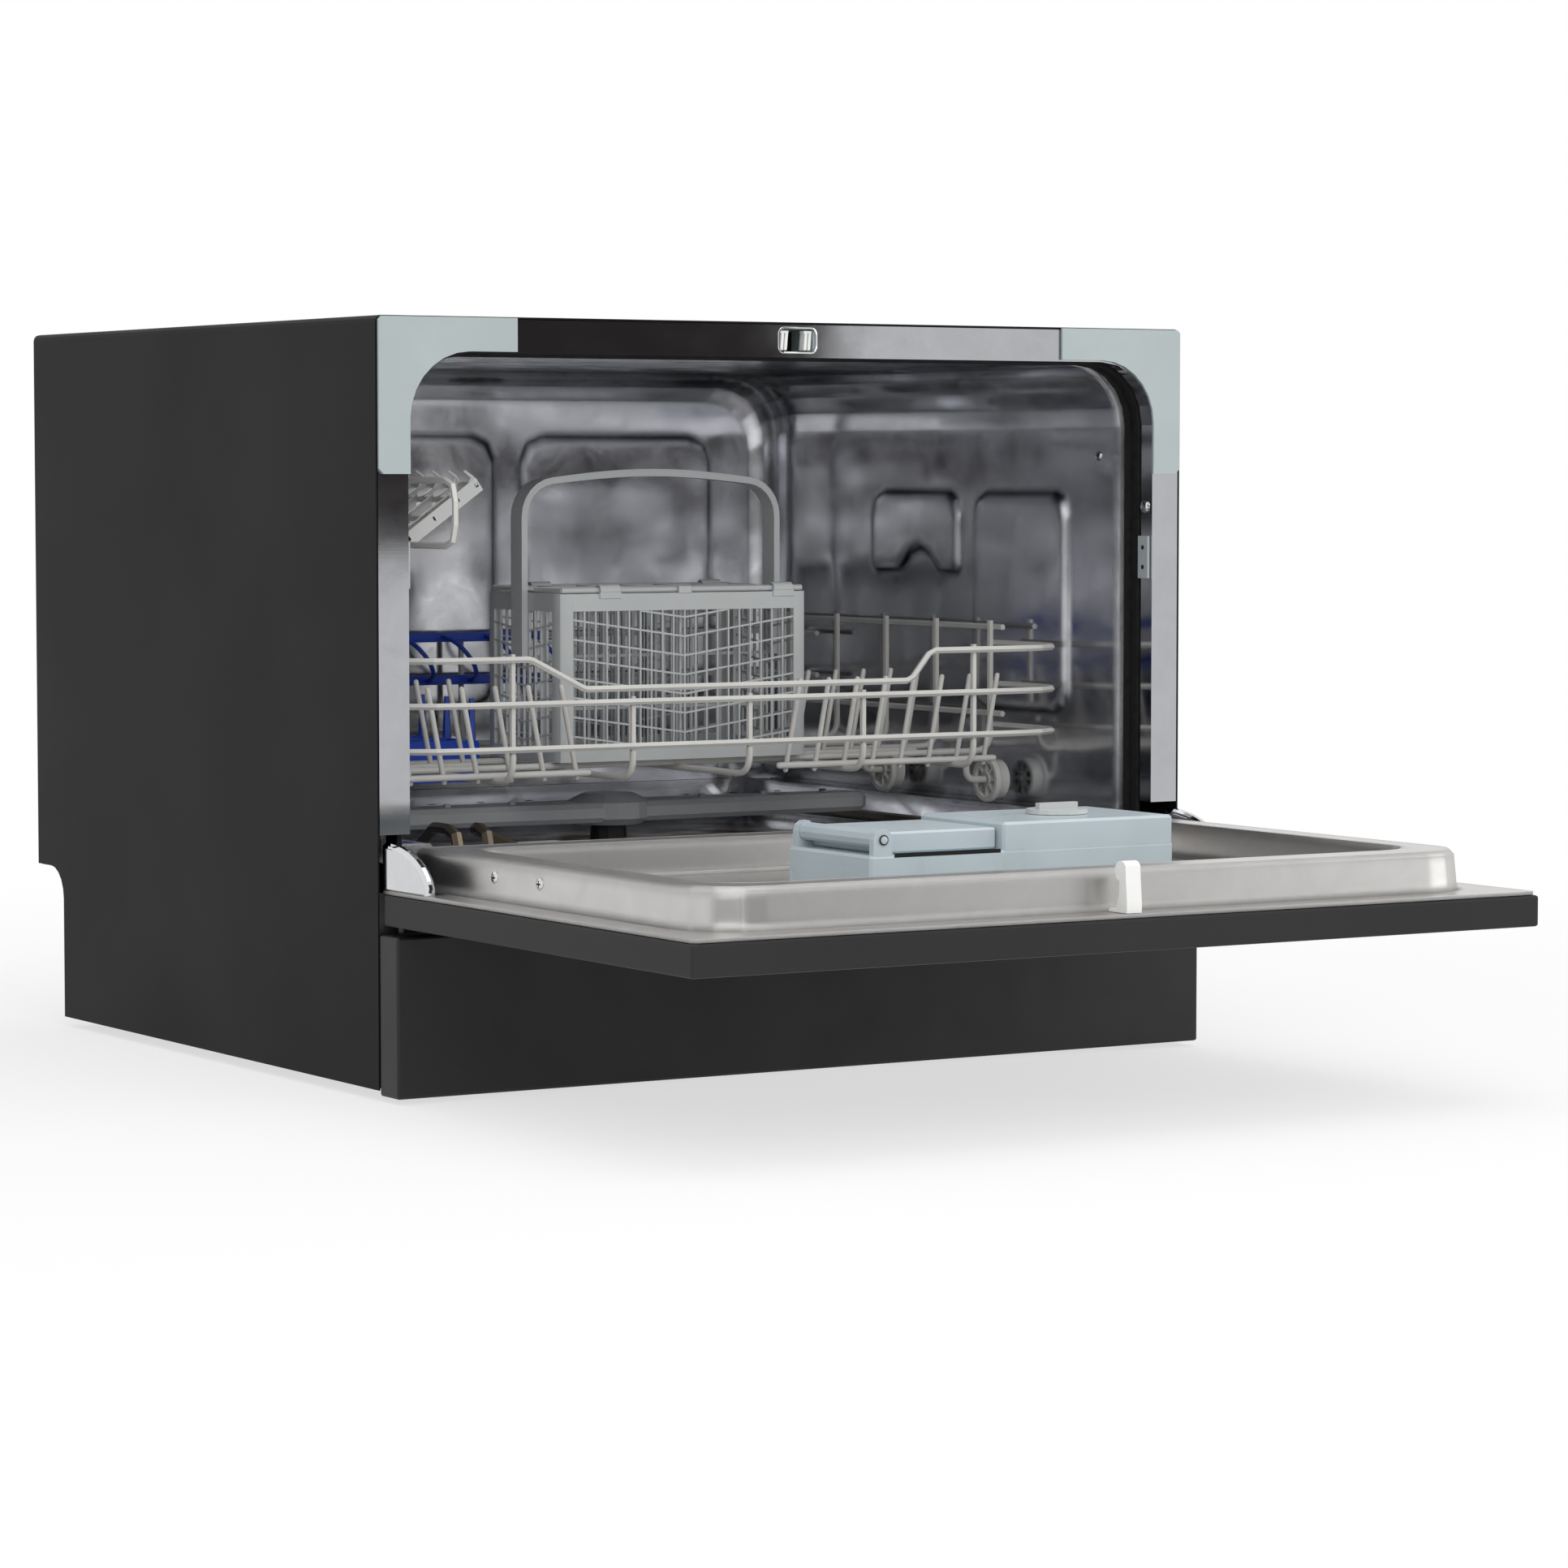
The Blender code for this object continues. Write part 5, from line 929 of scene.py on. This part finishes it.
@dataclass
class Door:
    """Coated outer door, steel liner, control panel, hinge cheeks and hook."""

    palette: Palette
    screw_places: tuple[float, ...] = (-0.1618, -0.2128)
    screw_height: float = 0.131
    lamp_radius: float = 0.0013

    def build(self) -> None:
        """Dress the nodes and add screws, bands and the panel's lamps."""
        dress = self.palette.dress
        dress("door_coat", "door_outer_panel")
        dress("liner_steel", "door_liner")
        dress("base_plastic", "control_fascia")
        dress("display", "display_window")
        dress("board", "control_board")
        dress("zinc", "hinge_leaf_left", "hinge_leaf_right")
        dress("cheek_steel", "hinge_cover_left", "hinge_cover_right")
        dress("hook_plastic", "latch_hook")
        dress("button_plastic", *BUTTONS)
        self.flank_screws()
        self.cheek_bands()
        self.panel_marks()

    def flank_screws(self) -> None:
        """Two screws in each side flank of the liner, near the hinge, their cross recesses drawn near-black
        as painted shade.
        """
        head, recess = Draft(), Draft()
        screw = Screw(radius=0.0036, rise=0.0012)
        for side in (-1, 1):
            for y in self.screw_places:
                screw.add_to(head, recess, (side * 0.2508, y, self.screw_height), Axis.X, side)
        head.hang("flank_screws", "door", "polished_steel", self.palette.get("chrome"))
        recess.hang("flank_screw_recess_shade", "door", "black_plastic", self.palette.get("shadow_gap"))

    def cheek_bands(self) -> None:
        """Bright rolled edge along the curved top of each hinge cheek."""
        bands = Draft()
        for node in ("hinge_cover_left", "hinge_cover_right"):
            low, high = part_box(node)
            middle = (low.x + high.x) / 2
            reach, height = high.y - low.y, high.z - low.z
            path = []
            for i in range(13):
                angle = math.radians(88 * i / 12 + 1)
                path.append(Vector((middle, high.y - (reach - 0.0012) * math.sin(angle),
                                    low.z + (height - 0.0008) * math.cos(angle))))
            bands.wire(path, (high.x - low.x) / 2 * 0.96, 10)
        bands.hang("cheek_bands", "door", "polished_steel", self.palette.get("chrome"))

    def panel_marks(self) -> None:
        """Small lamps: one before each button, and three at either end of the panel."""
        low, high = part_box("control_fascia")
        places = []
        for node in BUTTONS:
            button_low, button_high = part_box(node)
            places.append(((button_low.x + button_high.x) / 2, button_low.y - 0.006))
        places += [(x, (low.y + high.y) / 2) for x in (-0.180, -0.165, -0.150, 0.150, 0.165, 0.180)]
        lamps = Draft()
        lens = [(self.lamp_radius, 0.0004), (self.lamp_radius, -0.00005), (0.0002, -0.0001)]
        for x, y in places:
            lamps.turned(lens, (x, y, low.z), Axis.Z, 14)
        lamps.hang("panel_lamps", "door", "white_plastic", self.palette.get("lamp_white"))


# ----------------------------------------------------------------- dispenser


@dataclass
class Dispenser:
    """Powder and rinse-aid dispenser set in the dish of the door."""

    palette: Palette
    pin_radius: float = 0.0021

    def build(self) -> None:
        """Dress the nodes and add the hinge pins and a near-black strip of painted shade in the joint under
        the lid.
        """
        dress = self.palette.dress
        dress("dispenser_plastic", "dispenser_body", "dispenser_lid")
        dress("basket_plastic", "rinse_aid_cap")
        self.pins()

    def pins(self) -> None:
        """Heads of the lid's hinge pin, each ringed by a near-black slot of painted shade."""
        low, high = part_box("dispenser_lid")
        body_low, body_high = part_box("dispenser_body")
        heads, gaps = Draft(), Draft()
        radius, slot = self.pin_radius, self.pin_radius * 1.35
        for y, facing in ((body_low.y, -1), (body_high.y, 1)):
            place = (low.x + 0.0050, y, low.z + 0.0080)
            gaps.turned([(slot, 0.0), (slot, facing * 0.0002)], place, Axis.Y, 18)
            heads.turned([(radius, 0.0), (radius, facing * 0.0005), (radius * 0.5, facing * 0.0009),
                          (0.0002, facing * 0.0009)], place, Axis.Y, 18)
        # painted shade: a near-black strip in the joint under the lid's edge
        gaps.block((low.x + 0.0120, body_low.y - 0.0001, low.z - 0.0016),
                   (high.x - 0.0010, body_low.y + 0.0004, low.z + 0.0004))
        gaps.hang("lid_pin_gap_shade", "door", "black_plastic", self.palette.get("shadow_gap"))
        heads.hang("lid_pin_heads", "door", "dispenser_plastic", self.palette.get("dispenser_plastic"))


# -------------------------------------------------------------------- basket


@dataclass(frozen=True)
class TineRow:
    """One row of tines: its place, the side that it leans to, its first tine, their spacing and number."""

    y: float
    side: int
    first: float
    pitch: float
    count: int


@dataclass
class DishBasket:
    """Nylon-coated wire basket with its inserts, wheels and folding shelves."""

    palette: Palette
    drum: float = 0.0124
    spokes: int = 8
    shelf_tilt: float = 35.0
    shelf_columns: int = 8
    fin: float = 0.0009
    tooth_height: float = 0.0095
    wire: float = 0.0020
    tine: float = 0.0016
    tine_height: float = 0.054
    tine_lean: float = 0.0105
    long_z: float = 0.1715
    cross_z: float = 0.1745
    foot_z: float = 0.187
    axle_y: tuple[float, ...] = (0.07725, 0.19925)
    long_x: tuple[float, ...] = (-0.160, -0.080, 0.0, 0.080, 0.160)
    cross_y: tuple[float, ...] = (0.13625, 0.25625, 0.31625)
    edge: float = 0.232
    tine_rows: tuple[TineRow, ...] = (
        TineRow(0.00725, -1, -0.214, 0.022, 6), TineRow(0.10725, -1, -0.214, 0.022, 5),
        TineRow(0.00725, 1, 0.040, 0.0205, 8), TineRow(0.10725, 1, 0.108, 0.0205, 5))
    shelf_width: float = 0.0615
    shelf_pivot: float = 0.3095
    fin_lean: float = 52.0

    def build(self) -> None:
        """Dress the wires and inserts, then build the floor, wheels and shelves."""
        self.palette.dress("rack_nylon", "basket_frame", "upper_frame")
        self.floor()
        self.palette.dress("insert_plastic", "plate_insert")
        self.glass_holder()
        for end in ("front", "rear"):
            for side, facing in (("left", -1), ("right", 1)):
                self.wheel(f"wheel_{end}_{side}", f"roller_{end}_{side}", facing)
        for end in ("front", "rear"):
            self.shelf(f"cup_shelf_{end}", f"shelf_{end}")

    def cradle(self, start: Vector, end: Vector, bend: float) -> list[Vector]:
        """Path of a floor wire that is turned up at both ends.

        Args:
            start: its corner at one end.
            end: its corner at the other.
            bend: how far its bends reach.

        Returns:
            The path.
        """
        first, last = Vector((start.x, start.y, self.foot_z)), Vector((end.x, end.y, self.foot_z))
        return bent([first, start, end, last], bend)

    def floor(self) -> None:
        """Crossed floor wires turned up at their ends, bent axles and rows of leaning tines."""
        low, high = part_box("basket_floor")
        front, rear = low.y + self.wire, high.y - self.wire
        draft = Draft()
        for x in self.long_x:
            path = self.cradle(Vector((x, front, self.long_z)), Vector((x, rear, self.long_z)), 0.014)
            draft.wire(path, self.wire, 10)
        for y in [y - 2 * self.wire + 0.0006 for y in self.axle_y] + list(self.cross_y):
            ends = [Vector((side * self.edge, y, self.cross_z)) for side in (-1, 1)]
            draft.wire(self.cradle(*ends, 0.012), self.wire, 10)
        wheel_low, wheel_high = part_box("wheel_front_left")
        wheel_z = (wheel_low.z + wheel_high.z) / 2
        axle = ((0.194, self.cross_z), (0.216, self.cross_z), (0.216, wheel_z), (0.2412, wheel_z))
        for y in self.axle_y:
            for side in (-1, 1):
                draft.wire(bent([(side * x, y, z) for x, z in axle], 0.007), 0.0022, 10)
        for row in self.tine_rows:
            last = row.first + row.pitch * (row.count - 1)
            span = (row.first - 0.006, last + 0.006) if row.side < 0 else (0.034, max(last, 0.166) + 0.006)
            draft.wire([Vector((x, row.y, self.cross_z)) for x in span], self.wire, 10)
            beside = row.y + self.wire + self.tine - 0.001
            for i in range(row.count):
                foot = Vector((row.first + row.pitch * i, beside, self.cross_z - 0.003))
                tip = foot + Vector((row.side * self.tine_lean, 0, self.tine_height))
                draft.wire([foot, tip], self.tine, 10)
        draft.hang("basket_floor_look", "basket", "rack_nylon", self.palette.get("rack_nylon"),
                   replaces=("basket_floor",))

    def glass_holder(self) -> None:
        """Holder for stemmed glasses on the rear rails: two slim bars joined by round hoops."""
        low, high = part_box("glass_insert")
        draft = Draft()
        for z in (low.z + 0.0045, high.z - 0.0045):
            draft.block((low.x, high.y - 0.0046, z - 0.0030), (high.x, high.y, z + 0.0030))
            draft.block((low.x, high.y - 0.0090, z - 0.0030), (high.x, high.y - 0.0040, z - 0.0018))
        middle, height = (low.z + high.z) / 2, (high.z - low.z) / 2 - 0.0040
        for i in range(6):
            x = low.x + 0.010 + (high.x - low.x - 0.016) * i / 5
            hoop = []
            for degrees in range(0, 181, 15):
                angle = math.radians(degrees)
                hoop.append(Vector((x - 0.010 * math.cos(angle), high.y - 0.003 - 0.0225 * math.sin(angle),
                                    middle + height * math.cos(angle))))
            draft.wire(hoop, 0.0016, 8)
        draft.hang("glass_insert_look", "basket", "blue_plastic", self.palette.get("insert_plastic"),
                   bevel=0.0004, replaces=("glass_insert",))

    def wheel(self, node: str, body: str, facing: int) -> None:
        """Wheel with a drum, an inner flange and windows round its hub.

        Args:
            node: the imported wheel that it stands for.
            body: the body that it turns with.
            facing: -1 on the left side and 1 on the right.
        """
        low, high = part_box(node)
        centre = (low + high) / 2
        flange, half = (high.z - low.z) / 2, (high.x - low.x) / 2
        wheel = Draft()
        drum, bore = self.drum, self.drum - 0.0022
        rim = [(bore, half - 0.0020), (bore, half - 0.0004), (drum - 0.0012, half), (drum, half - 0.0008),
               (drum + 0.0002, -half + 0.0052), (drum + 0.0010, -half + 0.0040), (flange, -half + 0.0030),
               (flange, -half + 0.0012), (flange - 0.0010, -half), (drum - 0.0012, -half),
               (bore, -half + 0.0014), (bore, half - 0.0020)]
        wheel.turned([(r, facing * h) for r, h in rim], centre, Axis.X, 40)
        hub = [(0.0002, half - 0.0030), (0.0044, half - 0.0030), (0.0050, half - 0.0010),
               (0.0044, half - 0.0002), (0.0030, half - 0.0002), (0.0026, half - 0.0012),
               (0.0002, half - 0.0012)]
        wheel.turned([(r, facing * h) for r, h in hub], centre, Axis.X, 24)
        for i in range(self.spokes):
            turn = Matrix.Translation(centre) @ Matrix.Rotation(FULL_TURN * i / self.spokes, 4, "X")
            near, far = sorted((facing * (half - 0.0032), facing * (half - 0.0006)))
            wheel.block((near, -0.0011, 0.0040), (far, 0.0011, drum - 0.0015), turn)
            near, far = sorted((facing * (-half + 0.0008), facing * (half - 0.0070)))
            wheel.block((near, -0.0007, 0.0044), (far, 0.0007, drum - 0.0015), turn)
        tube = [(0.0050, -half), (0.0050, half - 0.0070), (0.0030, half - 0.0070), (0.0030, -half)]
        wheel.turned([(r, facing * h) for r, h in tube + tube[:1]], centre, Axis.X, 24)
        for i in range(3):
            turn = Matrix.Translation(centre) @ Matrix.Rotation(HALF_TURN * i / 3, 4, "X")
            near, far = sorted((facing * (half - 0.0016), facing * (half - 0.0005)))
            wheel.block((near, -0.0004, -0.0026), (far, 0.0004, 0.0026), turn)
        back = [(0.0002, half - 0.0066), (drum - 0.0015, half - 0.0066), (drum - 0.0015, half - 0.0074),
                (0.0002, half - 0.0074)]
        wheel.turned([(r, facing * h) for r, h in back], centre, Axis.X, 24)
        wheel.hang(node + "_look", body, "rack_nylon", self.palette.get("wheel_plastic"), replaces=(node,))

    def shelf(self, node: str, body: str) -> None:
        """Cup shelf: end rails, louvre fins, a row of round cells and teeth on the free edge.

        Args:
            node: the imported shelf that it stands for.
            body: the body that it folds with.
        """
        low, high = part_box(node)
        y0, y1 = low.y + 0.0004, high.y - 0.0004
        width = self.shelf_width
        shelf = Draft()
        for start in (y0, y1 - 0.0020):
            shelf.block((0.0050, start, -0.0048), (width, start + 0.0020, 0.0038))
        for u, thick in ((0.0050, 0.0020), (0.0250, 0.0016), (0.0440, 0.0016), (width - 0.0032, 0.0024)):
            shelf.block((u, y0, -0.0016), (u + thick, y1, 0.0014))
        pitch = (y1 - y0 - 0.0020) / self.shelf_columns
        lean = Matrix.Rotation(math.radians(self.fin_lean), 4, "X")
        for u0, u1 in ((0.0060, 0.0255), (0.0262, 0.0445)):
            for i in range(self.shelf_columns):
                y = y0 + 0.0020 + pitch * (i + 0.5)
                turn = Matrix.Translation((0, y, -0.0004)) @ lean
                shelf.block((u0, -self.fin / 2, -0.0066), (u1, self.fin / 2, 0.0072), turn)
        for i in range(self.shelf_columns):
            middle = y0 + 0.0010 + pitch * (i + 0.5)
            ring = [Vector((0.0518 + 0.0066 * math.cos(a), middle + pitch * 0.40 * math.sin(a), 0.0004))
                    for a in (FULL_TURN * k / 18 for k in range(18))]
            shelf.wire(ring, 0.0009, 6, closed=True)
        for i in range(self.shelf_columns + 1):
            y = y0 + 0.0010 + pitch * i
            shelf.block((0.0450, y - 0.0007, -0.0030), (width - 0.001, y + 0.0007, 0.0020))
            tooth = [Vector((width - 0.0020, y, 0.0000)), Vector((width - 0.0014, y, 0.0050)),
                     Vector((width - 0.0034, y, self.tooth_height + 0.0010))]
            shelf.wire(tooth, 0.0013, 8, taper=0.7)
            gusset = [(width - 0.0120, 0.0010), (width - 0.0020, 0.0010), (width - 0.0020, 0.0056)]
            shelf.prism(gusset, Axis.Y, y - 0.0005, y + 0.0005)
        shelf.shape(Matrix.Rotation(-math.radians(self.shelf_tilt), 4, "Y"))
        shelf.block((0.0024, y0 + 0.0060, -0.0078), (0.0036, y1 - 0.0060, 0.0020))
        for i in range(4):
            y = y0 + 0.020 + (y1 - y0 - 0.040) * i / 3
            clip = arc((0, 0), 0.0045, -140, 160, 12) + arc((0, 0), 0.0026, 160, -140, 12)
            shelf.prism(clip, Axis.Y, y - 0.0028, y + 0.0028)
            shelf.block((0.0006, y - 0.0070, -0.0094), (0.0050, y + 0.0050, -0.0074))
        shelf.shape(Matrix.Translation((low.x + 0.0046, 0, self.shelf_pivot)))
        shelf.hang(node + "_look", body, "pale_plastic", self.palette.get("shelf_plastic"), bevel=0.0002,
                   replaces=(node,))


# ------------------------------------------------------------ cutlery basket


@dataclass
class CutleryBasket:
    """Tall latticed cutlery basket with chevron bars, a handle and two half lids."""

    palette: Palette
    post: float = 0.0095
    band: float = 0.0105
    sill: float = 0.0085
    bar: float = 0.0011
    depth: float = 0.0018
    columns: int = 20
    rows: int = 8
    fall: float = 0.0110
    partition_bars: int = 16
    clip_places: tuple[float, ...] = (-0.052, 0.070)

    def build(self) -> None:
        """Dress the handle and lids, and build the latticed basket and its clips."""
        self.palette.dress("basket_plastic", "cutlery_handle", "cutlery_lid_front", "cutlery_lid_rear")
        self.basket()
        self.clips()

    def face(self, draft: Draft, axis: Axis, first: float, last: float, low: float, high: float,
             outside: float, inward: int, columns: int) -> None:
        """Draw one latticed wall: upright bars, and rows of bars that dip in the middle.

        Args:
            draft: the draft that takes it.
            axis: the axis that the wall faces along.
            first: where its window starts.
            last: where it ends.
            low: the window's sill.
            high: the window's head.
            outside: the wall's outer face.
            inward: the way from that face to the inside.
            columns: how many openings stand side by side.
        """
        near, far = sorted((outside, outside + inward * self.depth))
        thin, thick = sorted((outside + inward * 0.0002, outside + inward * self.depth * 0.8))
        middle = (first + last) / 2
        pitch = (last - first) / columns
        for i in range(1, columns):
            u0, u1 = first + pitch * i - self.bar / 2, first + pitch * i + self.bar / 2
            draft.prism([(u0, low), (u1, low), (u1, high), (u0, high)], axis, near, far)
        fall = self.fall * (last - first) / 0.155
        step = (high - low + fall) / self.rows
        for j in range(self.rows + 1):
            top = high + fall * 0.6 - step * j
            for start, end in ((first, middle), (last, middle)):
                z0, z1 = top, top - fall
                if z0 > high:
                    cut = (z0 - high) / fall
                    start, z0 = start + (end - start) * cut, high
                if z1 < low and z0 > low:
                    cut = (z0 - low) / (z0 - z1)
                    end, z1 = start + (end - start) * cut, low
                if z0 <= low or abs(end - start) < 0.001:
                    continue
                t = self.bar / 2 * 1.1
                outline = [(start, z0 - t), (end, z1 - t), (end, z1 + t), (start, z0 + t)]
                draft.prism(outline, axis, thin, thick)

    def basket(self) -> None:
        """Posts, bands, floor, latticed walls and the two crossing partitions."""
        low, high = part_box("cutlery_basket")
        draft = Draft()
        post, wall = self.post, 0.0022
        head, sill = high.z - self.band, low.z + self.sill
        for x, sx in ((low.x, 1), (high.x, -1)):
            for y, sy in ((low.y, 1), (high.y, -1)):
                corner = ((0.004, 0.0), (post, 0.0), (post, wall), (wall, wall), (wall, post), (0.0, post),
                          (0.0, 0.004), (0.0012, 0.0012))
                draft.prism([(x + sx * u, y + sy * v) for u, v in corner], Axis.Z, low.z, high.z)
        for z0, z1 in ((head, high.z), (low.z, sill)):
            for y, sy in ((low.y, 1), (high.y, -1)):
                near, far = sorted((y, y + sy * wall))
                draft.block((low.x + post - 0.0005, near, z0), (high.x - post + 0.0005, far, z1))
            for x, sx in ((low.x, 1), (high.x, -1)):
                near, far = sorted((x, x + sx * wall))
                draft.block((near, low.y + post - 0.0005, z0), (far, high.y - post + 0.0005, z1))
        for y, sy in ((low.y, 1), (high.y, -1)):
            self.face(draft, Axis.Y, low.x + post, high.x - post, sill, head, y, sy, self.columns)
        for x, sx in ((low.x, 1), (high.x, -1)):
            self.face(draft, Axis.X, low.y + post, high.y - post, sill, head, x, sx, 10)
        middle = (low.y + high.y) / 2
        for i in range(self.partition_bars + 1):
            x = low.x + 0.004 + (high.x - low.x - 0.008) * i / self.partition_bars
            draft.block((x - 0.0009, middle - 0.0008, low.z + 0.001),
                        (x + 0.0009, middle + 0.0008, high.z - 0.002))
        for z in (low.z + 0.030, low.z + 0.062, high.z - 0.006):
            draft.block((low.x + 0.002, middle - 0.0007, z - 0.0010),
                        (high.x - 0.002, middle + 0.0007, z + 0.0010))
        for i in range(9):
            y = low.y + 0.006 + (high.y - low.y - 0.012) * i / 8
            draft.block((-0.0009, y - 0.0009, low.z + 0.001), (0.0009, y + 0.0009, high.z - 0.002))
            draft.block((low.x + 0.001, y - 0.0010, low.z), (high.x - 0.001, y + 0.0010, low.z + 0.0020))
        for i in range(15):
            x = low.x + 0.006 + (high.x - low.x - 0.012) * i / 14
            draft.block((x - 0.0010, low.y + 0.001, low.z + 0.0004),
                        (x + 0.0010, high.y - 0.001, low.z + 0.0024))
        draft.hang("cutlery_basket_look", "cutlery", "pale_plastic", self.palette.get("basket_plastic"),
                   bevel=0.0002, replaces=("cutlery_basket",))

    def clips(self) -> None:
        """Snap bearings that hold each lid's rod on the basket's rim."""
        low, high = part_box("cutlery_basket")
        clips = Draft()
        for y, sy in ((low.y, 1), (high.y, -1)):
            centre = (y + sy * 0.0030, high.z + 0.0021)
            for x in self.clip_places:
                outline = arc((0, 0), 0.0036, -40, 200, 10) + arc((0, 0), 0.0023, 200, -40, 10)
                clips.prism([(centre[0] + sy * u, centre[1] + v) for u, v in outline], Axis.X,
                            x - 0.0070, x + 0.0070)
                near, far = sorted((y - sy * 0.0008, y + sy * 0.0016))
                clips.block((x - 0.0075, near, high.z - 0.0030), (x + 0.0075, far, high.z + 0.0010))
            near, far = sorted((y - sy * 0.0006, y + sy * 0.0016))
            clips.block((-0.0045, near, high.z - 0.0004), (0.0045, far, high.z + 0.0040))
        clips.hang("lid_clips", "cutlery", "pale_plastic", self.palette.get("basket_plastic"), bevel=0.0003)


# -------------------------------------------------------------------- studio


@dataclass
class Studio:
    """Pale floor, white surround, soft lamps, one dark screen and the camera."""

    camera_place: Point = (-1.5084, -2.50885, 0.3515)
    camera_yaw: float = 31.565
    camera_pitch: float = -3.648
    lens: float = 112.62
    sensor: float = 36.0
    floor_reach: float = 12.0
    shadow_near: float = 0.45
    shadow_far: float = 1.5
    paleness: float = 0.66
    ambient: float = 0.72

    def build(self) -> None:
        """Make the camera, the surround, the floor, the lamps and the screen."""
        self.camera()
        self.surround()
        self.floor()
        self.lamps()
        self.screen()
        bpy.context.scene.view_settings.view_transform = "Standard"

    def camera(self) -> None:
        """Stand the camera where the photograph was taken from."""
        data = bpy.data.cameras.new("camera")
        data.lens, data.sensor_width = self.lens, self.sensor
        data.clip_start, data.clip_end = 0.05, 60.0
        obj = bpy.data.objects.new("camera", data)
        yaw, pitch = math.radians(self.camera_yaw), math.radians(self.camera_pitch)
        gaze = Vector((math.sin(yaw) * math.cos(pitch), math.cos(yaw) * math.cos(pitch), math.sin(pitch)))
        obj.location = self.camera_place
        obj.rotation_euler = gaze.to_track_quat("-Z", "Y").to_euler()
        bpy.context.scene.collection.objects.link(obj)
        bpy.context.scene.camera = obj

    def surround(self) -> None:
        """White world for the camera and for what is mirrored, and a softer one for the light."""
        world = bpy.data.worlds.new("surround")
        bpy.context.scene.world = world
        world.use_nodes = True
        tree = world.node_tree
        level = add_node(tree, "ShaderNodeMapRange", {"Value": seen_directly(tree), "To Min": self.ambient,
                                                      "To Max": 1.0})
        fill(tree, tree.nodes["Background"], {"Color": WHITE, "Strength": level.outputs["Result"]})

    def sheet(self, name: str, corners: list[Point], colour: str,
              roughness: float) -> tuple[bpy.types.Object, Tree, Node]:
        """Make a flat sheet with a plain finish.

        Args:
            name: its name.
            corners: its corners in turn.
            colour: its colour.
            roughness: its roughness.

        Returns:
            The object, its material's node tree and its shader.
        """
        data = bpy.data.meshes.new(name)
        data.from_pydata(corners, [], [list(range(len(corners)))])
        obj = bpy.data.objects.new(name, data)
        bpy.context.scene.collection.objects.link(obj)
        material, tree, shader = Finish(name, colour, roughness).begin()
        data.materials.append(material)
        return obj, tree, shader

    def floor(self) -> None:
        """Pale floor that keeps the shadow near the object and fades to the white surround."""
        reach = self.floor_reach
        corners = [(x * reach, y * reach, -0.0001) for x, y in ((-1, -1), (1, -1), (1, 1), (-1, 1))]
        obj, tree, shader = self.sheet("floor", corners, "#F4F4F4", 0.9)
        shader.inputs["Specular IOR Level"].default_value = 0.1
        where = tree.nodes.new("ShaderNodeTexCoord")
        away = add_node(tree, "ShaderNodeVectorMath", {0: where.outputs["Object"]}, operation="LENGTH")
        fade = add_node(tree, "ShaderNodeMapRange", {"Value": away.outputs["Value"],
                                                     "From Min": self.shadow_near,
                                                     "From Max": self.shadow_far, "To Min": self.paleness},
                        interpolation_type="SMOOTHSTEP")
        share = add_node(tree, "ShaderNodeMath", {0: fade.outputs["Result"], 1: seen_directly(tree)},
                         operation="MULTIPLY")
        white = add_node(tree, "ShaderNodeEmission", {"Color": WHITE, "Strength": 1.0})
        mixed = add_node(tree, "ShaderNodeMixShader", {0: share.outputs[0], 1: shader.outputs["BSDF"],
                                                       2: white.outputs["Emission"]})
        tree.links.new(mixed.outputs[0], tree.nodes["Material Output"].inputs["Surface"])

    def lamp(self, name: str, place: Point, target: Point, size: float, power: float) -> None:
        """Hang one square soft lamp.

        Args:
            name: its name.
            place: where it hangs.
            target: the point that it faces.
            size: its side.
            power: its power in watts.
        """
        data = bpy.data.lights.new(name, "AREA")
        data.shape, data.size, data.energy = "SQUARE", size, power
        obj = bpy.data.objects.new(name, data)
        obj.location = place
        obj.rotation_euler = (Vector(target) - Vector(place)).to_track_quat("-Z", "Y").to_euler()
        bpy.context.scene.collection.objects.link(obj)

    def lamps(self) -> None:
        """Large soft lamps: one in front to the left, one high above and one low on the right."""
        self.lamp("key_lamp", (-0.9, -2.3, 1.5), (0.0, 0.0, 0.2), 1.8, 20.0)
        self.lamp("top_lamp", (0.3, -0.3, 2.4), (0.0, -0.1, 0.2), 2.0, 16.0)
        self.lamp("side_lamp", (2.2, -1.6, 0.8), (0.0, -0.1, 0.2), 1.2, 9.0)

    def screen(self) -> None:
        """Dark screen behind the camera, which only the bright metal mirrors."""
        corners = [(x, -2.75, z) for x, z in ((-4.5, 0.26), (1.711, 0.26), (1.711, 2.6), (-4.5, 2.6))]
        obj = self.sheet("screen", corners, "#2E2829", 1.0)[0]
        obj.visible_camera = False
        obj.visible_diffuse = False
        obj.visible_shadow = False
        obj.visible_transmission = False


def main() -> None:
    """Build every sub-assembly in order and report each piece."""
    logging.basicConfig(level=logging.INFO, format="%(name)s: %(message)s")
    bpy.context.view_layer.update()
    Studio().build()
    palette = Palette()
    for part in (Cabinet(palette), Tub(palette), Door(palette), Dispenser(palette), DishBasket(palette),
                 CutleryBasket(palette)):
        part.build()
        LOG.info("%s built", type(part).__name__)


if __name__ == "__main__":
    main()
